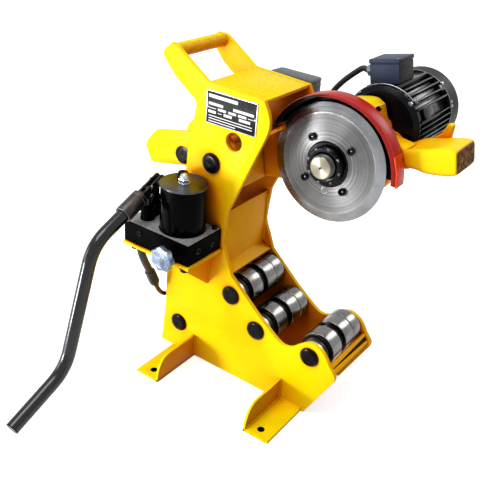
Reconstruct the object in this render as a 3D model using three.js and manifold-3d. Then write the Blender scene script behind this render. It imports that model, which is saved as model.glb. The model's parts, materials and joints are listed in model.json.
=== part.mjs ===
// Electric pipe cutter, bench size, for steel pipe up to about 200 mm outside diameter.
// Millimetres. +X is towards the open front with the rollers, +Y the far side, +Z up.
// The origin is the middle of the base on the floor, halfway between the two side plates.

import * as THREE from "three";
import { mergeVertices } from "three/addons/utils/BufferGeometryUtils.js";
import Module from "manifold-3d";

const wasm = await Module();
wasm.setup();

// Driving sizes: clearances shared by all pieces
const FIT = 0.3;
const RUNNING = 0.6;
const OVERRUN = 4;
const MERGE_DISTANCE = 1e-3;

// Driving sizes: welded frame
const FRAME_LENGTH = 388;
const FRAME_HEIGHT = 595;
const FRAME_INNER_WIDTH = 126;
const PLATE_THICKNESS = 8;
const WEB_THICKNESS = 6;
const CROSS_BAR_THICKNESS = 4;
const CARRY_BAR_DIAMETER = 24;
const SIGHT_HOLE_DIAMETER = 32;
const HEAD_DIAMETER = 36;
const HEAD_HEIGHT = 5;
const PIVOT_DIAMETER = 30;
const CYLINDER_PIN_DIAMETER = 22;
const FOOT_LEG = 50;
const FOOT_WIDTH = 52;
const FOOT_REACH = 109;
const FOOT_THICKNESS = 5;
const FOOT_KNEE_REACH = 75;
const FOOT_HOLE_SETBACK = 19.5;
const FOOT_HOLE_DIAMETER = 13;
const NAMEPLATE_LENGTH = 101;
const NAMEPLATE_HEIGHT = 56;
const NAMEPLATE_THICKNESS = 1;

// Driving sizes: rollers
const ROLLER_DIAMETER = 66;
const ROLLER_SHAFT_DIAMETER = 25;
const ROLLER_SPACER_DIAMETER = 54;
const ROLLER_SPACER_WIDTH = 16;
const ROLLER_COLLAR_DIAMETER = 52;
const ROLLER_COLLAR_WIDTH = 19;
const ROLLER_CHAMFER = 1.5;

// Driving sizes: swinging arm
const ARM_TILT_DEGREES = 12.5;
const ARM_CHEEK_THICKNESS = 8;
const ARM_HUB_DIAMETER = 56;
const ARM_TAIL_LENGTH = 156;
const ARM_TAIL_TOP = 49;
const ARM_TAIL_BOTTOM = 12;
const ARM_NECK_TOP = 29.4;
const ARM_NECK_BOTTOM = 44.8;
const TAIL_PIN_REACH = 70.4;
const TAIL_PIN_RISE = 6.5;
const TAIL_PIN_DIAMETER = 20;
const WHEEL_REACH = 190.2;
const WHEEL_DROP = 3.7;
const MOTOR_AHEAD = 59.2;
const MOTOR_ABOVE = 46.4;

// Driving sizes: cutting head
const WHEEL_DIAMETER = 200;
const WHEEL_THICKNESS = 10;
const WHEEL_FACE_DIAMETER = 168;
const WHEEL_EDGE_THICKNESS = 1;
const WHEEL_NEAR_FACE = -10;
const SPINDLE_NOSE_DIAMETER = 41;
const SPINDLE_NOSE_END = -35;
const SPINDLE_FLANGE_DIAMETER = 130;
const SPINDLE_JOURNAL_DIAMETER = 44;
const LOCK_NUT_DIAMETER = 66;
const LOCK_NUT_THICKNESS = 11;
const TAB_WASHER_DIAMETER = 77;
const TAB_WASHER_THICKNESS = 3;
const NUT_SLOT_WIDTH = 7;
const NUT_SLOT_DEPTH = 4;
const GUARD_RADIUS = 119;
const GUARD_WALL = 2.5;
const GUARD_FRONT = -18;
const GUARD_BACK = 10;
const GUARD_SHIFT_ALONG = 4;
const GUARD_SHIFT_DOWN = 4.5;
const GUARD_PAD_RISE = 68;
const GUARD_PAD_HEIGHT = 19.5;
const GUARD_START_DEGREES = -11;
const GUARD_END_DEGREES = 146;
const CASE_NEAR = 14;
const CASE_FAR = 54;
const CASE_WALL = 8;
const CASE_COVER_THICKNESS = 6;
const CASE_NECK_REACH = 45.6;
const CASE_FRONT = 125.5;
const CASE_HEIGHT = 94;
const CAST_HANDLE_NEAR = 12;
const CAST_HANDLE_WIDTH = 78;
const CAST_HANDLE_AHEAD = 99.4;
const CAST_HANDLE_LENGTH = 104.4;
const CAST_HANDLE_HEIGHT = 46;
const HANDLE_RIB_THICKNESS = 12;

// Driving sizes: gear train, motor pinion to idler to spindle
const FIRST_MODULE = 1.8;
const SECOND_MODULE = 2;
const FIRST_PINION_TEETH = 10;
const FIRST_WHEEL_TEETH = 40;
const SECOND_PINION_TEETH = 12;
const SECOND_WHEEL_TEETH = 48;
const GEAR_WIDTH = 11;
const GEAR_SIDE_GAP = 3;

// Driving sizes: motor
const MOTOR_DIAMETER = 136;
const MOTOR_FIN_DEPTH = 8;
const MOTOR_FINS = 30;
const MOTOR_BORE = 70;
const MOTOR_FRAME_LENGTH = 120;
const END_SHIELD_LENGTH = 10;
const END_SHIELD_CHAMFER = 4.5;
const COWL_LENGTH = 45;
const COWL_WALL = 2.5;
const ROTOR_DIAMETER = 68.6;
const ROTOR_LENGTH = 74;
const ROTOR_SHAFT_DIAMETER = 14;
const FAN_DIAMETER = 112;
const FAN_WIDTH = 16;
const BOX_WIDTH = 54;
const BOX_DEPTH = 56;
const BOX_HEIGHT = 39;
const BOX_SETBACK = 10;
const GLAND_DIAMETER = 20;
const GLAND_LENGTH = 16;
const CABLE_DIAMETER = 9;

// Driving sizes: hydraulic cylinder
const CYLINDER_DIAMETER = 68;
const CYLINDER_BORE = 52;
const CYLINDER_LENGTH = 212;
const CYLINDER_FLOOR = 20;
const ROD_DIAMETER = 32;
const ROD_EYE_WIDTH = 40;
const ROD_EYE_DIAMETER = 50;
const EYE_SLOT_SIDE_PLAY = 3.3;
const EYE_SLOT_LIFT_PLAY = 1.2;

// Driving sizes: hand pump
const BRACKET_LENGTH = 149;
const BRACKET_REACH = 95;
const BRACKET_THICKNESS = 6;
const BRACKET_GUSSET_DROP = 79;
const BRACKET_GUSSET_SETBACK = 28;
const BLOCK_SETBACK = 4;
const PUMP_BLOCK_LENGTH = 145;
const PUMP_BLOCK_WIDTH = 91;
const PUMP_BLOCK_HEIGHT = 39;
const TANK_DIAMETER = 80;
const TANK_FRONT_SETBACK = 12;
const TANK_SIDE_SETBACK = 4;
const TANK_HEIGHT = 82;
const TANK_WALL = 3;
const LID_THICKNESS = 3;
const LID_OVERHANG = 2;
const STUD_DIAMETER = 10;
const ACORN_WIDTH = 17;
const ACORN_HEIGHT = 9;
const BREATHER_DIAMETER = 17;
const BREATHER_HEIGHT = 10;
const BARREL_DIAMETER = 26;
const BARREL_HEIGHT = 27;
const BARREL_SETBACK = 26;
const POST_DEPTH = 14;
const POST_SHOULDER_DROP = 23;
const TANG_WIDTH = 6.5;
const PISTON_DIAMETER = 14;
const PISTON_SHOULDER_DROP = 15;
const LEVER_SIDE_SETBACK = 39.5;
const LEVER_PIVOT_HEIGHT = 63.7;
const LEVER_BOLT_DIAMETER = 8;
const LEVER_BOLT_HEAD = 4;
const LEVER_LINK_RADIUS = 21.6;
const LEVER_ANGLE_DEGREES = 23.5;
const PISTON_PIN_DIAMETER = 8;
const FORK_GAP = 7.5;
const FORK_BAR_THICKNESS = 3.5;
const FORK_BAR_DEPTH = 17;
const FORK_SLOT_PLAY = 0.7;
const FORK_TAIL = 17;
const SOCKET_DIAMETER = 31;
const SOCKET_START = 39.6;
const SOCKET_LENGTH = 50;
const LEVER_TUBE_DIAMETER = 24;
const LEVER_TUBE_INSERT = 32;
const LEVER_FIRST_RUN = 125.5;
const LEVER_SECOND_RUN = 223.4;
const LEVER_THIRD_RUN = 128.4;
const LEVER_SECOND_RUN_DEGREES = 71.3;
const LEVER_THIRD_RUN_DEGREES = 24.2;
const LEVER_BEND_RUN = 32;
const KNOB_DIAMETER = 46;
const KNOB_WIDTH = 13;
const KNOB_LOBES = 7;
const KNOB_LOBE_DEPTH = 3;
const KNOB_STEM_DIAMETER = 12;
const KNOB_STEM_LENGTH = 20;
const HOSE_DIAMETER = 14.5;
const HOSE_REAR_SETBACK = 13;
const HOSE_NEAR_SETBACK = 26;
const HOSE_LEAN_DEGREES = 24.3;
const HOSE_START_RUN = 28;
const HOSE_END_RUN = 38;
const PORT_DIAMETER = 9;
const PORT_HEIGHT = 38;
const ELBOW_STANDOFF = 11;
const ELBOW_REACH = 70;
const ELBOW_RUN = 64;
const ELBOW_TIGHT_BEND = 10;
const ELBOW_WIDE_BEND = 34;
const FERRULE_DIAMETER = 20;
const FERRULE_LENGTH = 38;

// Driving sizes: switch box on the far side of the head
const SWITCH_LENGTH = 86;
const SWITCH_DEPTH = 37;
const SWITCH_HEIGHT = 62;
const SWITCH_CORNER = 9;
const ROCKER_LENGTH = 30;
const ROCKER_WIDTH = 18;
const ROCKER_DEPTH = 8;
const ROCKER_TILT_DEGREES = 8;
const CABLE_SLACK = 46.5;

// Steps round a turned piece
const FINE_STEPS = 30;
const ROUND_STEPS = 18;
const SMALL_STEPS = 10;
const CURVE_STEPS = 3;
const KNOB_LOBE_STEPS = 6;
const CAP_STEPS = 4;
const TUBE_SIDES = 10;
const ELBOW_STEPS = 22;
const HOSE_STEPS = 14;
const CABLE_SIDES = 8;
const CABLE_STEPS = 26;

// Places of the frame's features, as shares of the frame's length and height
const PIVOT_SHARES = [-0.1784, 0.698];
const CYLINDER_PIN_SHARES = [-0.3232, 0.1032];
const SIGHT_HOLE_SHARES = [-0.0693, 0.781];
const ROLLER_SHARES = { rear: [-0.0216, 0.2948], middle: [0.1332, 0.2118], front: [0.4278, 0.2092] };
const CARRY_BAR_SHARES = [-0.4206, 0.9807];
const NAMEPLATE_SHARES = [-0.0907, 0.8612];
const REAR_FOOT_SHARE = -0.2165;
const FRONT_FOOT_SHARE = 0.2887;
const PUMP_SHARES = [-0.088, 0.4303];
const SWITCH_SHARES = [-0.155, 0.925];
const TOP_PLATE_SHARES = [[-0.2216, 0.927], [0.0642, 0.9186]];
const WEB_SHARES = [[-0.0889, 0.558], [-0.0889, 0.3798], [-0.0361, 0.3647]];
const BOTTOM_PLATE_SHARE = 0.425;

// The front cross bar's corners from the front roller's axis, as shares of the roller's diameter
const CROSS_BAR_SHARES = [[0.5758, -0.0526], [0.7277, -0.3103]];

// The side plate's outline, from the rear foot up the back, over the handle and down the front
const PLATE_OUTLINE_SHARES = [
  { curved: false, points: [[-0.4356, 0], [-0.4157, 0.162], [-0.4131, 0.2864], [-0.3175, 0.661]] },
  { curved: false, points: [[-0.3142, 0.7116], [-0.2879, 0.8082], [-0.276, 0.8543], [-0.2861, 0.8672]] },
  { curved: false, points: [[-0.3985, 0.9171], [-0.462, 0.9625]] },
  { curved: true, points: [[-0.4665, 0.972], [-0.4526, 0.9877], [-0.4242, 1], [-0.3938, 1]] },
  { curved: false, points: [[-0.3843, 0.9966]] },
  { curved: false, points: [[-0.2219, 0.9277], [0.0649, 0.9193]] },
  { curved: true, points: [[0.0954, 0.8797], [0.099, 0.8471], [0.0814, 0.8106]] },
  { curved: false, points: [[-0.074, 0.5659]] },
  { curved: true, points: [[-0.0856, 0.4874], [-0.0856, 0.4509], [-0.0621, 0.4141]] },
  { curved: false, points: [[-0.0291, 0.362], [0.1356, 0.2684], [0.2036, 0.2361]] },
  { curved: true, points: [[0.2719, 0.2071], [0.3211, 0.2086], [0.3613, 0.2301], [0.3894, 0.2454]] },
  { curved: true, points: [[0.434, 0.2561], [0.4765, 0.2484], [0.5046, 0.2331], [0.533, 0.2055]] },
  { curved: true, points: [[0.5634, 0.1795], [0.5629, 0.1603]] },
  { curved: false, points: [[0.4356, 0]] },
];

// The swinging arm's cheek, as shares of the tail's length and of its height above or below the axis
const TAIL_SHARES = [
  [-0.46, -1], [-0.925, -1], [-0.955, -0.7], [-1, 0.4], [-0.962, 0.6], [-0.795, 1],
];

// The gear case's outline about the wheel's axis. Along, -1 is the neck and 1 the nose, and up is
// in shares of the case's height.
const CASE_OUTLINE_SHARES = [
  { curved: false, points: [[-1, -0.4755], [-1, 0.3237], [-0.8092, 0.4249]] },
  { curved: false, points: [[-0.6447, 0.5099], [-0.1842, 0.7993]] },
  { curved: true, points: [[-0.0921, 0.9207], [0.1667, 0.9996], [0.4697, 0.9996], [0.5985, 0.8903]] },
  { curved: false, points: [[0.6212, 0.688], [0.6697, 0.4047], [0.9091, 0.2833], [1, 0.2428]] },
  { curved: false, points: [[1, -0.1012], [0.8485, -0.1214]] },
  {
    curved: true,
    points: [[0.6515, -0.4755], [0.3788, -0.6981], [0, -0.8296], [-0.2895, -0.7284], [-0.5263, -0.5058]],
  },
];

// The cast handle's side outline from its root in the case, as shares of its length and height
const CAST_HANDLE_SHARES = [
  { curved: false, points: [[0, 0.385], [0.2075, 0.514], [0.5094, 0.582]] },
  { curved: true, points: [[0.8113, 0.634], [0.9434, 0.582], [1, 0.428]] },
  { curved: true, points: [[1.0075, 0], [0.9811, -0.274], [0.849, -0.368], [0.5471, -0.368]] },
  { curved: false, points: [[0.3698, -0.231], [0.2075, -0.171], [0, -0.3]] },
];
const HANDLE_RIB_SHARES = [[0.17, 0], [0.6227, 0], [0.7246, 1.022], [0.6227, 1.063], [0.17, 0.817]];

// Shares of the pieces that carry them
const BREATHER_SHARE = 0.42;
const KNOB_HEIGHT_SHARE = 0.385;
const KNOB_ALONG_SHARE = 0.47;
const SHIELD_FACE_SHARE = 0.85;
const COWL_FACE_SHARE = 0.9;
const COWL_VENT_SHARE = 0.3;
const FIN_ROOT_SHARE = 0.3;
const FIN_TIP_SHARE = 0.2;
const GLAND_HEIGHT_SHARE = 0.44;
const ROCKER_SHARES = [[-1, -0.8], [0.3, -1], [0.125, 0], [0.3, 1], [-1, 0.8]];
const CABLE_ENTRY_SHARES = [0.75, 0.55];
const CABLE_FIRST_SHARE = 0.33;
const CABLE_DROP_SHARES = [1.15, 0.6];
const CABLE_LOW_SHARES = [0.75, 2];
const CABLE_ENTER_SHARE = 0.5;

const degrees = THREE.MathUtils.degToRad;

// Materials
const YELLOW = paint(0xf2d20a, 0.38, 0.1);
const RED = paint(0xc8201a, 0.4, 0.1);
const BLACK = paint(0x101114, 0.4, 0.2);
const SLATE = paint(0x3c4352, 0.55, 0.1);
const STEEL = paint(0x9b9da1, 0.3, 0.95);
const DARK_STEEL = paint(0x4b4740, 0.42, 0.9);
const BRASS = paint(0xb8aa7c, 0.35, 0.9);
const COPPER = paint(0x6b4630, 0.45, 0.8);
const ZINC = paint(0x9fb2d0, 0.4, 0.75);
const CHROME = paint(0xd8dade, 0.12, 1);
const RUBBER = paint(0x17181b, 0.7, 0);

function paint(color, roughness, metalness) {
  return new THREE.MeshStandardMaterial({ color, roughness, metalness });
}

// Solids: three.js geometry to a manifold and back, joined or cut
function asSolid(geometry) {
  const bare = geometry.index ? geometry.toNonIndexed() : geometry.clone();
  bare.deleteAttribute("normal");
  bare.deleteAttribute("uv");
  const merged = mergeVertices(bare, MERGE_DISTANCE);
  const vertProperties = merged.attributes.position.array;
  const triVerts = new Uint32Array(merged.index.array);
  return new wasm.Manifold(new wasm.Mesh({ numProp: 3, vertProperties, triVerts }));
}

function asGeometry(solid) {
  const mesh = solid.getMesh();
  const geometry = new THREE.BufferGeometry();
  geometry.setAttribute("position", new THREE.BufferAttribute(new Float32Array(mesh.vertProperties), 3));
  geometry.setIndex(new THREE.BufferAttribute(new Uint32Array(mesh.triVerts), 1));
  geometry.computeVertexNormals();
  return geometry;
}

function join(...geometries) {
  return asGeometry(geometries.map(asSolid).reduce((all, next) => all.add(next)));
}

function cut(base, ...tools) {
  return asGeometry(tools.map(asSolid).reduce((all, next) => all.subtract(next), asSolid(base)));
}

function common(a, b) {
  return asGeometry(asSolid(a).intersect(asSolid(b)));
}

// Shapes: a box by its corners, a turned piece about Y, and outlines extruded along Y
function block(x, y, z) {
  const geometry = new THREE.BoxGeometry(x[1] - x[0], y[1] - y[0], z[1] - z[0]);
  return geometry.translate((x[0] + x[1]) / 2, (y[0] + y[1]) / 2, (z[0] + z[1]) / 2);
}

function turned(profile, steps = ROUND_STEPS) {
  return new THREE.LatheGeometry(profile.map(([r, y]) => new THREE.Vector2(r, y)), steps);
}

function rod(radius, from, to, steps = ROUND_STEPS) {
  return turned([[0, from], [radius, from], [radius, to], [0, to]], steps);
}

function tube(outer, inner, from, to, steps = ROUND_STEPS) {
  return turned([[inner, from], [outer, from], [outer, to], [inner, to], [inner, from]], steps);
}

function alongX(geometry) {
  return geometry.rotateZ(-Math.PI / 2);
}

function alongZ(geometry) {
  return geometry.rotateX(Math.PI / 2);
}

function circle(x, z, radius, steps = SMALL_STEPS) {
  const points = [];
  for (let i = 0; i < steps; i += 1) {
    const angle = (i / steps) * 2 * Math.PI;
    points.push(new THREE.Vector2(x + radius * Math.cos(angle), z + radius * Math.sin(angle)));
  }
  return points;
}

function outline(runs, scaleX, scaleZ) {
  const shape = new THREE.Shape();
  runs.forEach(({ curved, points }, i) => {
    const places = points.map(([x, z]) => new THREE.Vector2(x * scaleX, z * scaleZ));
    if (i === 0) shape.moveTo(places[0].x, places[0].y);
    if (curved) shape.splineThru(places);
    else places.slice(i === 0 ? 1 : 0).forEach((p) => shape.lineTo(p.x, p.y));
  });
  return shape;
}

function extruded(shape, from, to) {
  const solid = new THREE.ExtrudeGeometry(shape, {
    depth: to - from,
    bevelEnabled: false,
    curveSegments: CURVE_STEPS,
  });
  return solid.rotateX(Math.PI / 2).translate(0, to, 0);
}

function polygon(points) {
  return new THREE.Shape(points.map(([x, z]) => new THREE.Vector2(x, z)));
}

function withHole(shape, x, z, radius, steps) {
  shape.holes.push(new THREE.Path(circle(x, z, radius, steps)));
  return shape;
}

// A round section carried along a curve
function sweep(curve, diameter, sides, steps) {
  const section = new THREE.Shape(circle(0, 0, diameter / 2, sides));
  return new THREE.ExtrudeGeometry(section, { steps, extrudePath: curve, bevelEnabled: false });
}

function piece(parent, name, geometry, material, place = [0, 0, 0]) {
  const mesh = new THREE.Mesh(geometry, material);
  mesh.name = name;
  mesh.position.set(...place);
  parent.add(mesh);
  return mesh;
}

// Frame places worked out from the shares
const INNER = FRAME_INNER_WIDTH / 2;
const OUTER = INNER + PLATE_THICKNESS;
const framePlace = ([x, z]) => [x * FRAME_LENGTH, z * FRAME_HEIGHT];
const PIVOT = framePlace(PIVOT_SHARES);
const CYLINDER_PIN = framePlace(CYLINDER_PIN_SHARES);
const root = new THREE.Group();

// A pin with a domed head on each side plate
function headedPin(shank, extra = []) {
  const headBase = OUTER + FIT;
  const headTop = headBase + HEAD_HEIGHT;
  const head = HEAD_DIAMETER / 2;
  const rim = headBase + HEAD_HEIGHT / 3;
  const crown = head - HEAD_HEIGHT;
  const near = [[0, -headTop], [crown, -headTop], [head, -rim], [head, -headBase], [shank, -headBase]];
  const far = [[shank, headBase], [head, headBase], [head, rim], [crown, headTop], [0, headTop]];
  return turned([...near, ...extra, ...far]);
}

function sidePlate(pinHoles) {
  const shape = outline(PLATE_OUTLINE_SHARES, FRAME_LENGTH, FRAME_HEIGHT);
  pinHoles.forEach(([x, z, radius]) => withHole(shape, x, z, radius, ROUND_STEPS));
  return shape;
}

function addSidePlates() {
  const shaftHole = ROLLER_SHAFT_DIAMETER / 2 + FIT;
  const holes = Object.values(ROLLER_SHARES).map((place) => [...framePlace(place), shaftHole]);
  holes.push([...PIVOT, PIVOT_DIAMETER / 2 + FIT]);
  holes.push([...CYLINDER_PIN, CYLINDER_PIN_DIAMETER / 2 + FIT]);
  const sight = [...framePlace(SIGHT_HOLE_SHARES), SIGHT_HOLE_DIAMETER / 2];
  piece(root, "near_side_plate", extruded(sidePlate([...holes, sight]), -OUTER, -INNER), YELLOW);
  piece(root, "far_side_plate", extruded(sidePlate(holes), INNER, OUTER), YELLOW);
}

// A flat strip of plate between the side plates, from one place to the next, hung below its line
function strip(places, thickness) {
  const down = places.map(([x, z], i) => {
    const [ax, az] = places[Math.max(i - 1, 0)];
    const [bx, bz] = places[Math.min(i + 1, places.length - 1)];
    const run = Math.hypot(bx - ax, bz - az);
    return [x + (thickness * (bz - az)) / run, z - (thickness * (bx - ax)) / run];
  });
  return extruded(polygon([...places, ...down.reverse()]), -INNER + FIT, INNER - FIT);
}

function addCrossPlates() {
  piece(root, "top_plate", strip(TOP_PLATE_SHARES.map(framePlace), WEB_THICKNESS), YELLOW);
  piece(root, "front_web", strip(WEB_SHARES.map(framePlace), WEB_THICKNESS), YELLOW);
  const [rollerX, rollerZ] = framePlace(ROLLER_SHARES.front);
  const barPlaces = CROSS_BAR_SHARES.map(([x, z]) => [
    rollerX + x * ROLLER_DIAMETER,
    rollerZ + z * ROLLER_DIAMETER,
  ]);
  piece(root, "front_cross_bar", strip(barPlaces, CROSS_BAR_THICKNESS), YELLOW);
  const half = BOTTOM_PLATE_SHARE * FRAME_LENGTH;
  const width = [-INNER + FIT, INNER - FIT];
  piece(root, "bottom_plate", block([-half, half], width, [0, WEB_THICKNESS]), YELLOW);
  const bar = rod(CARRY_BAR_DIAMETER / 2, ...width);
  const [x, z] = framePlace(CARRY_BAR_SHARES);
  piece(root, "carry_handle_bar", bar, YELLOW, [x, 0, z]);
}

// A foot is a piece of angle: a flange on the floor and a leg whose free end curves down
function foot(legOnHighX) {
  const y = [-OUTER - FIT - FOOT_REACH, -OUTER - FIT];
  const flange = block([0, FOOT_WIDTH], y, [0, FOOT_THICKNESS]);
  const legShape = new THREE.Shape();
  legShape.moveTo(0, 0);
  legShape.lineTo(0, FOOT_LEG);
  legShape.lineTo(FOOT_KNEE_REACH, FOOT_LEG);
  legShape.quadraticCurveTo(FOOT_REACH - FOOT_THICKNESS, FOOT_LEG, FOOT_REACH, FOOT_THICKNESS);
  legShape.lineTo(FOOT_REACH, 0);
  const leg = new THREE.ExtrudeGeometry(legShape, {
    depth: FOOT_THICKNESS,
    bevelEnabled: false,
    curveSegments: 2 * CURVE_STEPS,
  });
  leg.applyMatrix4(new THREE.Matrix4().makeBasis(
    new THREE.Vector3(0, -1, 0), new THREE.Vector3(0, 0, 1), new THREE.Vector3(-1, 0, 0)));
  leg.translate(legOnHighX ? FOOT_WIDTH : FOOT_THICKNESS, y[1], 0);
  const hole = alongZ(rod(FOOT_HOLE_DIAMETER / 2, -OVERRUN, FOOT_THICKNESS + OVERRUN, SMALL_STEPS));
  hole.translate(FOOT_WIDTH / 2, y[0] + FOOT_HOLE_SETBACK, 0);
  return cut(join(flange, leg), hole);
}

function addFeet() {
  const rear = REAR_FOOT_SHARE * FRAME_LENGTH - FOOT_WIDTH;
  const front = FRONT_FOOT_SHARE * FRAME_LENGTH;
  piece(root, "near_rear_foot", foot(true), YELLOW, [rear, 0, 0]);
  piece(root, "near_front_foot", foot(false), YELLOW, [front, 0, 0]);
  const farRear = piece(root, "far_rear_foot", foot(true), YELLOW, [rear, 0, 0]);
  const farFront = piece(root, "far_front_foot", foot(false), YELLOW, [front, 0, 0]);
  farRear.scale.y = -1;
  farFront.scale.y = -1;
}

function addNameplate() {
  const [x, z] = framePlace(NAMEPLATE_SHARES);
  const across = [x - NAMEPLATE_LENGTH / 2, x + NAMEPLATE_LENGTH / 2];
  const up = [z - NAMEPLATE_HEIGHT / 2, z + NAMEPLATE_HEIGHT / 2];
  const face = -OUTER - FIT;
  piece(root, "nameplate", block(across, [face - NAMEPLATE_THICKNESS, face], up), BLACK);
}

function addPins() {
  piece(root, "arm_pivot_pin", headedPin(PIVOT_DIAMETER / 2), BLACK, [PIVOT[0], 0, PIVOT[1]]);
  const lower = headedPin(CYLINDER_PIN_DIAMETER / 2);
  piece(root, "cylinder_pin", lower, BLACK, [CYLINDER_PIN[0], 0, CYLINDER_PIN[1]]);
}

// Rollers: per shaft a stepped collar, one ring, the shaft's own shoulder, then two rings
const SHAFT_RADIUS = ROLLER_SHAFT_DIAMETER / 2;
const RING_WIDTH = (FRAME_INNER_WIDTH - ROLLER_COLLAR_WIDTH - ROLLER_SPACER_WIDTH - 6 * FIT) / 3;
const COLLAR_START = -INNER + FIT;
const FIRST_RING_START = COLLAR_START + ROLLER_COLLAR_WIDTH + FIT;
const SPACER_START = FIRST_RING_START + RING_WIDTH + FIT;
const SECOND_RING_START = SPACER_START + ROLLER_SPACER_WIDTH + FIT;
const THIRD_RING_START = SECOND_RING_START + RING_WIDTH + FIT;

function rollerRing(from) {
  const outer = ROLLER_DIAMETER / 2;
  const bore = SHAFT_RADIUS + FIT;
  const to = from + RING_WIDTH;
  const edge = ROLLER_CHAMFER;
  return turned([
    [bore, from], [outer - edge, from], [outer, from + edge],
    [outer, to - edge], [outer - edge, to], [bore, to], [bore, from],
  ]);
}

function rollerCollar() {
  const outer = ROLLER_COLLAR_DIAMETER / 2;
  const step = outer - 2 * ROLLER_CHAMFER;
  const bore = SHAFT_RADIUS + FIT;
  const middle = COLLAR_START + ROLLER_COLLAR_WIDTH / 2;
  const end = COLLAR_START + ROLLER_COLLAR_WIDTH;
  return turned([
    [bore, COLLAR_START], [outer, COLLAR_START], [outer, middle],
    [step, middle], [step, end], [bore, end], [bore, COLLAR_START],
  ]);
}

function rollerShaft() {
  const shoulder = ROLLER_SPACER_DIAMETER / 2;
  const end = SPACER_START + ROLLER_SPACER_WIDTH;
  return headedPin(SHAFT_RADIUS, [
    [SHAFT_RADIUS, SPACER_START], [shoulder, SPACER_START], [shoulder, end], [SHAFT_RADIUS, end],
  ]);
}

function addRollers() {
  for (const [row, share] of Object.entries(ROLLER_SHARES)) {
    const [x, z] = framePlace(share);
    const place = [x, 0, z];
    piece(root, `${row}_roller_shaft`, rollerShaft(), BLACK, place);
    piece(root, `${row}_roller_collar`, rollerCollar(), STEEL, place);
    piece(root, `${row}_near_ring`, rollerRing(FIRST_RING_START), STEEL, place);
    piece(root, `${row}_middle_ring`, rollerRing(SECOND_RING_START), STEEL, place);
    piece(root, `${row}_far_ring`, rollerRing(THIRD_RING_START), STEEL, place);
  }
}

// Hand pump on a bracket that stands out from the near side plate
const [BRACKET_FRONT, BRACKET_BASE] = framePlace(PUMP_SHARES);
const BRACKET_TOP = BRACKET_BASE + BRACKET_THICKNESS;
const BLOCK_BASE = BRACKET_TOP + FIT;
const BLOCK_TOP = BLOCK_BASE + PUMP_BLOCK_HEIGHT;
const BLOCK_FAR = -OUTER - 3 * FIT;
const BLOCK_NEAR = BLOCK_FAR - PUMP_BLOCK_WIDTH;
const BLOCK_FRONT = BRACKET_FRONT - BLOCK_SETBACK;
const BLOCK_REAR = BLOCK_FRONT - PUMP_BLOCK_LENGTH;
const TANK_RADIUS = TANK_DIAMETER / 2;
const TANK_PLACE = [
  BLOCK_FRONT - TANK_RADIUS - TANK_FRONT_SETBACK,
  BLOCK_FAR - TANK_RADIUS - TANK_SIDE_SETBACK,
  BLOCK_TOP + FIT,
];
const FORK_OUTER = FORK_GAP / 2 + FORK_BAR_THICKNESS;
const LEVER_X = BLOCK_REAR + BARREL_SETBACK;
const LINK_ACROSS = LEVER_LINK_RADIUS * Math.cos(degrees(LEVER_ANGLE_DEGREES));
const LINK_DROP = LEVER_LINK_RADIUS * Math.sin(degrees(LEVER_ANGLE_DEGREES));
const LEVER_PIVOT = [LEVER_X, BLOCK_FAR - LEVER_SIDE_SETBACK, BLOCK_TOP + FIT + LEVER_PIVOT_HEIGHT];
const PISTON_Y = LEVER_PIVOT[1] - LINK_ACROSS;

function addBracket() {
  const x = [BRACKET_FRONT - BRACKET_LENGTH, BRACKET_FRONT];
  const y = [-OUTER - FIT - BRACKET_REACH, -OUTER - FIT];
  const plate = block(x, y, [BRACKET_BASE, BRACKET_TOP]);
  const gusset = new THREE.Shape();
  gusset.moveTo(y[1], BRACKET_TOP);
  gusset.lineTo(y[0], BRACKET_TOP);
  gusset.lineTo(y[0], BRACKET_BASE);
  gusset.lineTo(y[1], BRACKET_BASE - BRACKET_GUSSET_DROP);
  const web = new THREE.ExtrudeGeometry(gusset, { depth: BRACKET_THICKNESS, bevelEnabled: false });
  web.applyMatrix4(new THREE.Matrix4().makeBasis(
    new THREE.Vector3(0, 1, 0), new THREE.Vector3(0, 0, 1), new THREE.Vector3(1, 0, 0)));
  web.translate(x[1] - BRACKET_GUSSET_SETBACK - BRACKET_THICKNESS, 0, 0);
  const hosePass = alongZ(rod(HOSE_DIAMETER / 2 + 2 * FIT, BRACKET_BASE - OVERRUN, BRACKET_TOP + OVERRUN));
  hosePass.translate(HOSE_TOP[0], HOSE_TOP[1], 0);
  piece(root, "pump_bracket", cut(join(plate, web), hosePass), YELLOW);
}

function addPumpBlock() {
  const stemHole = rod(KNOB_STEM_DIAMETER / 2 + RUNNING, -OVERRUN, KNOB_STEM_LENGTH);
  stemHole.translate(KNOB_PLACE[0], BLOCK_NEAR, KNOB_PLACE[1]);
  const body = block([BLOCK_REAR, BLOCK_FRONT], [BLOCK_NEAR, BLOCK_FAR], [BLOCK_BASE, BLOCK_TOP]);
  piece(root, "pump_block", cut(body, stemHole), BLACK);
}

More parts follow.
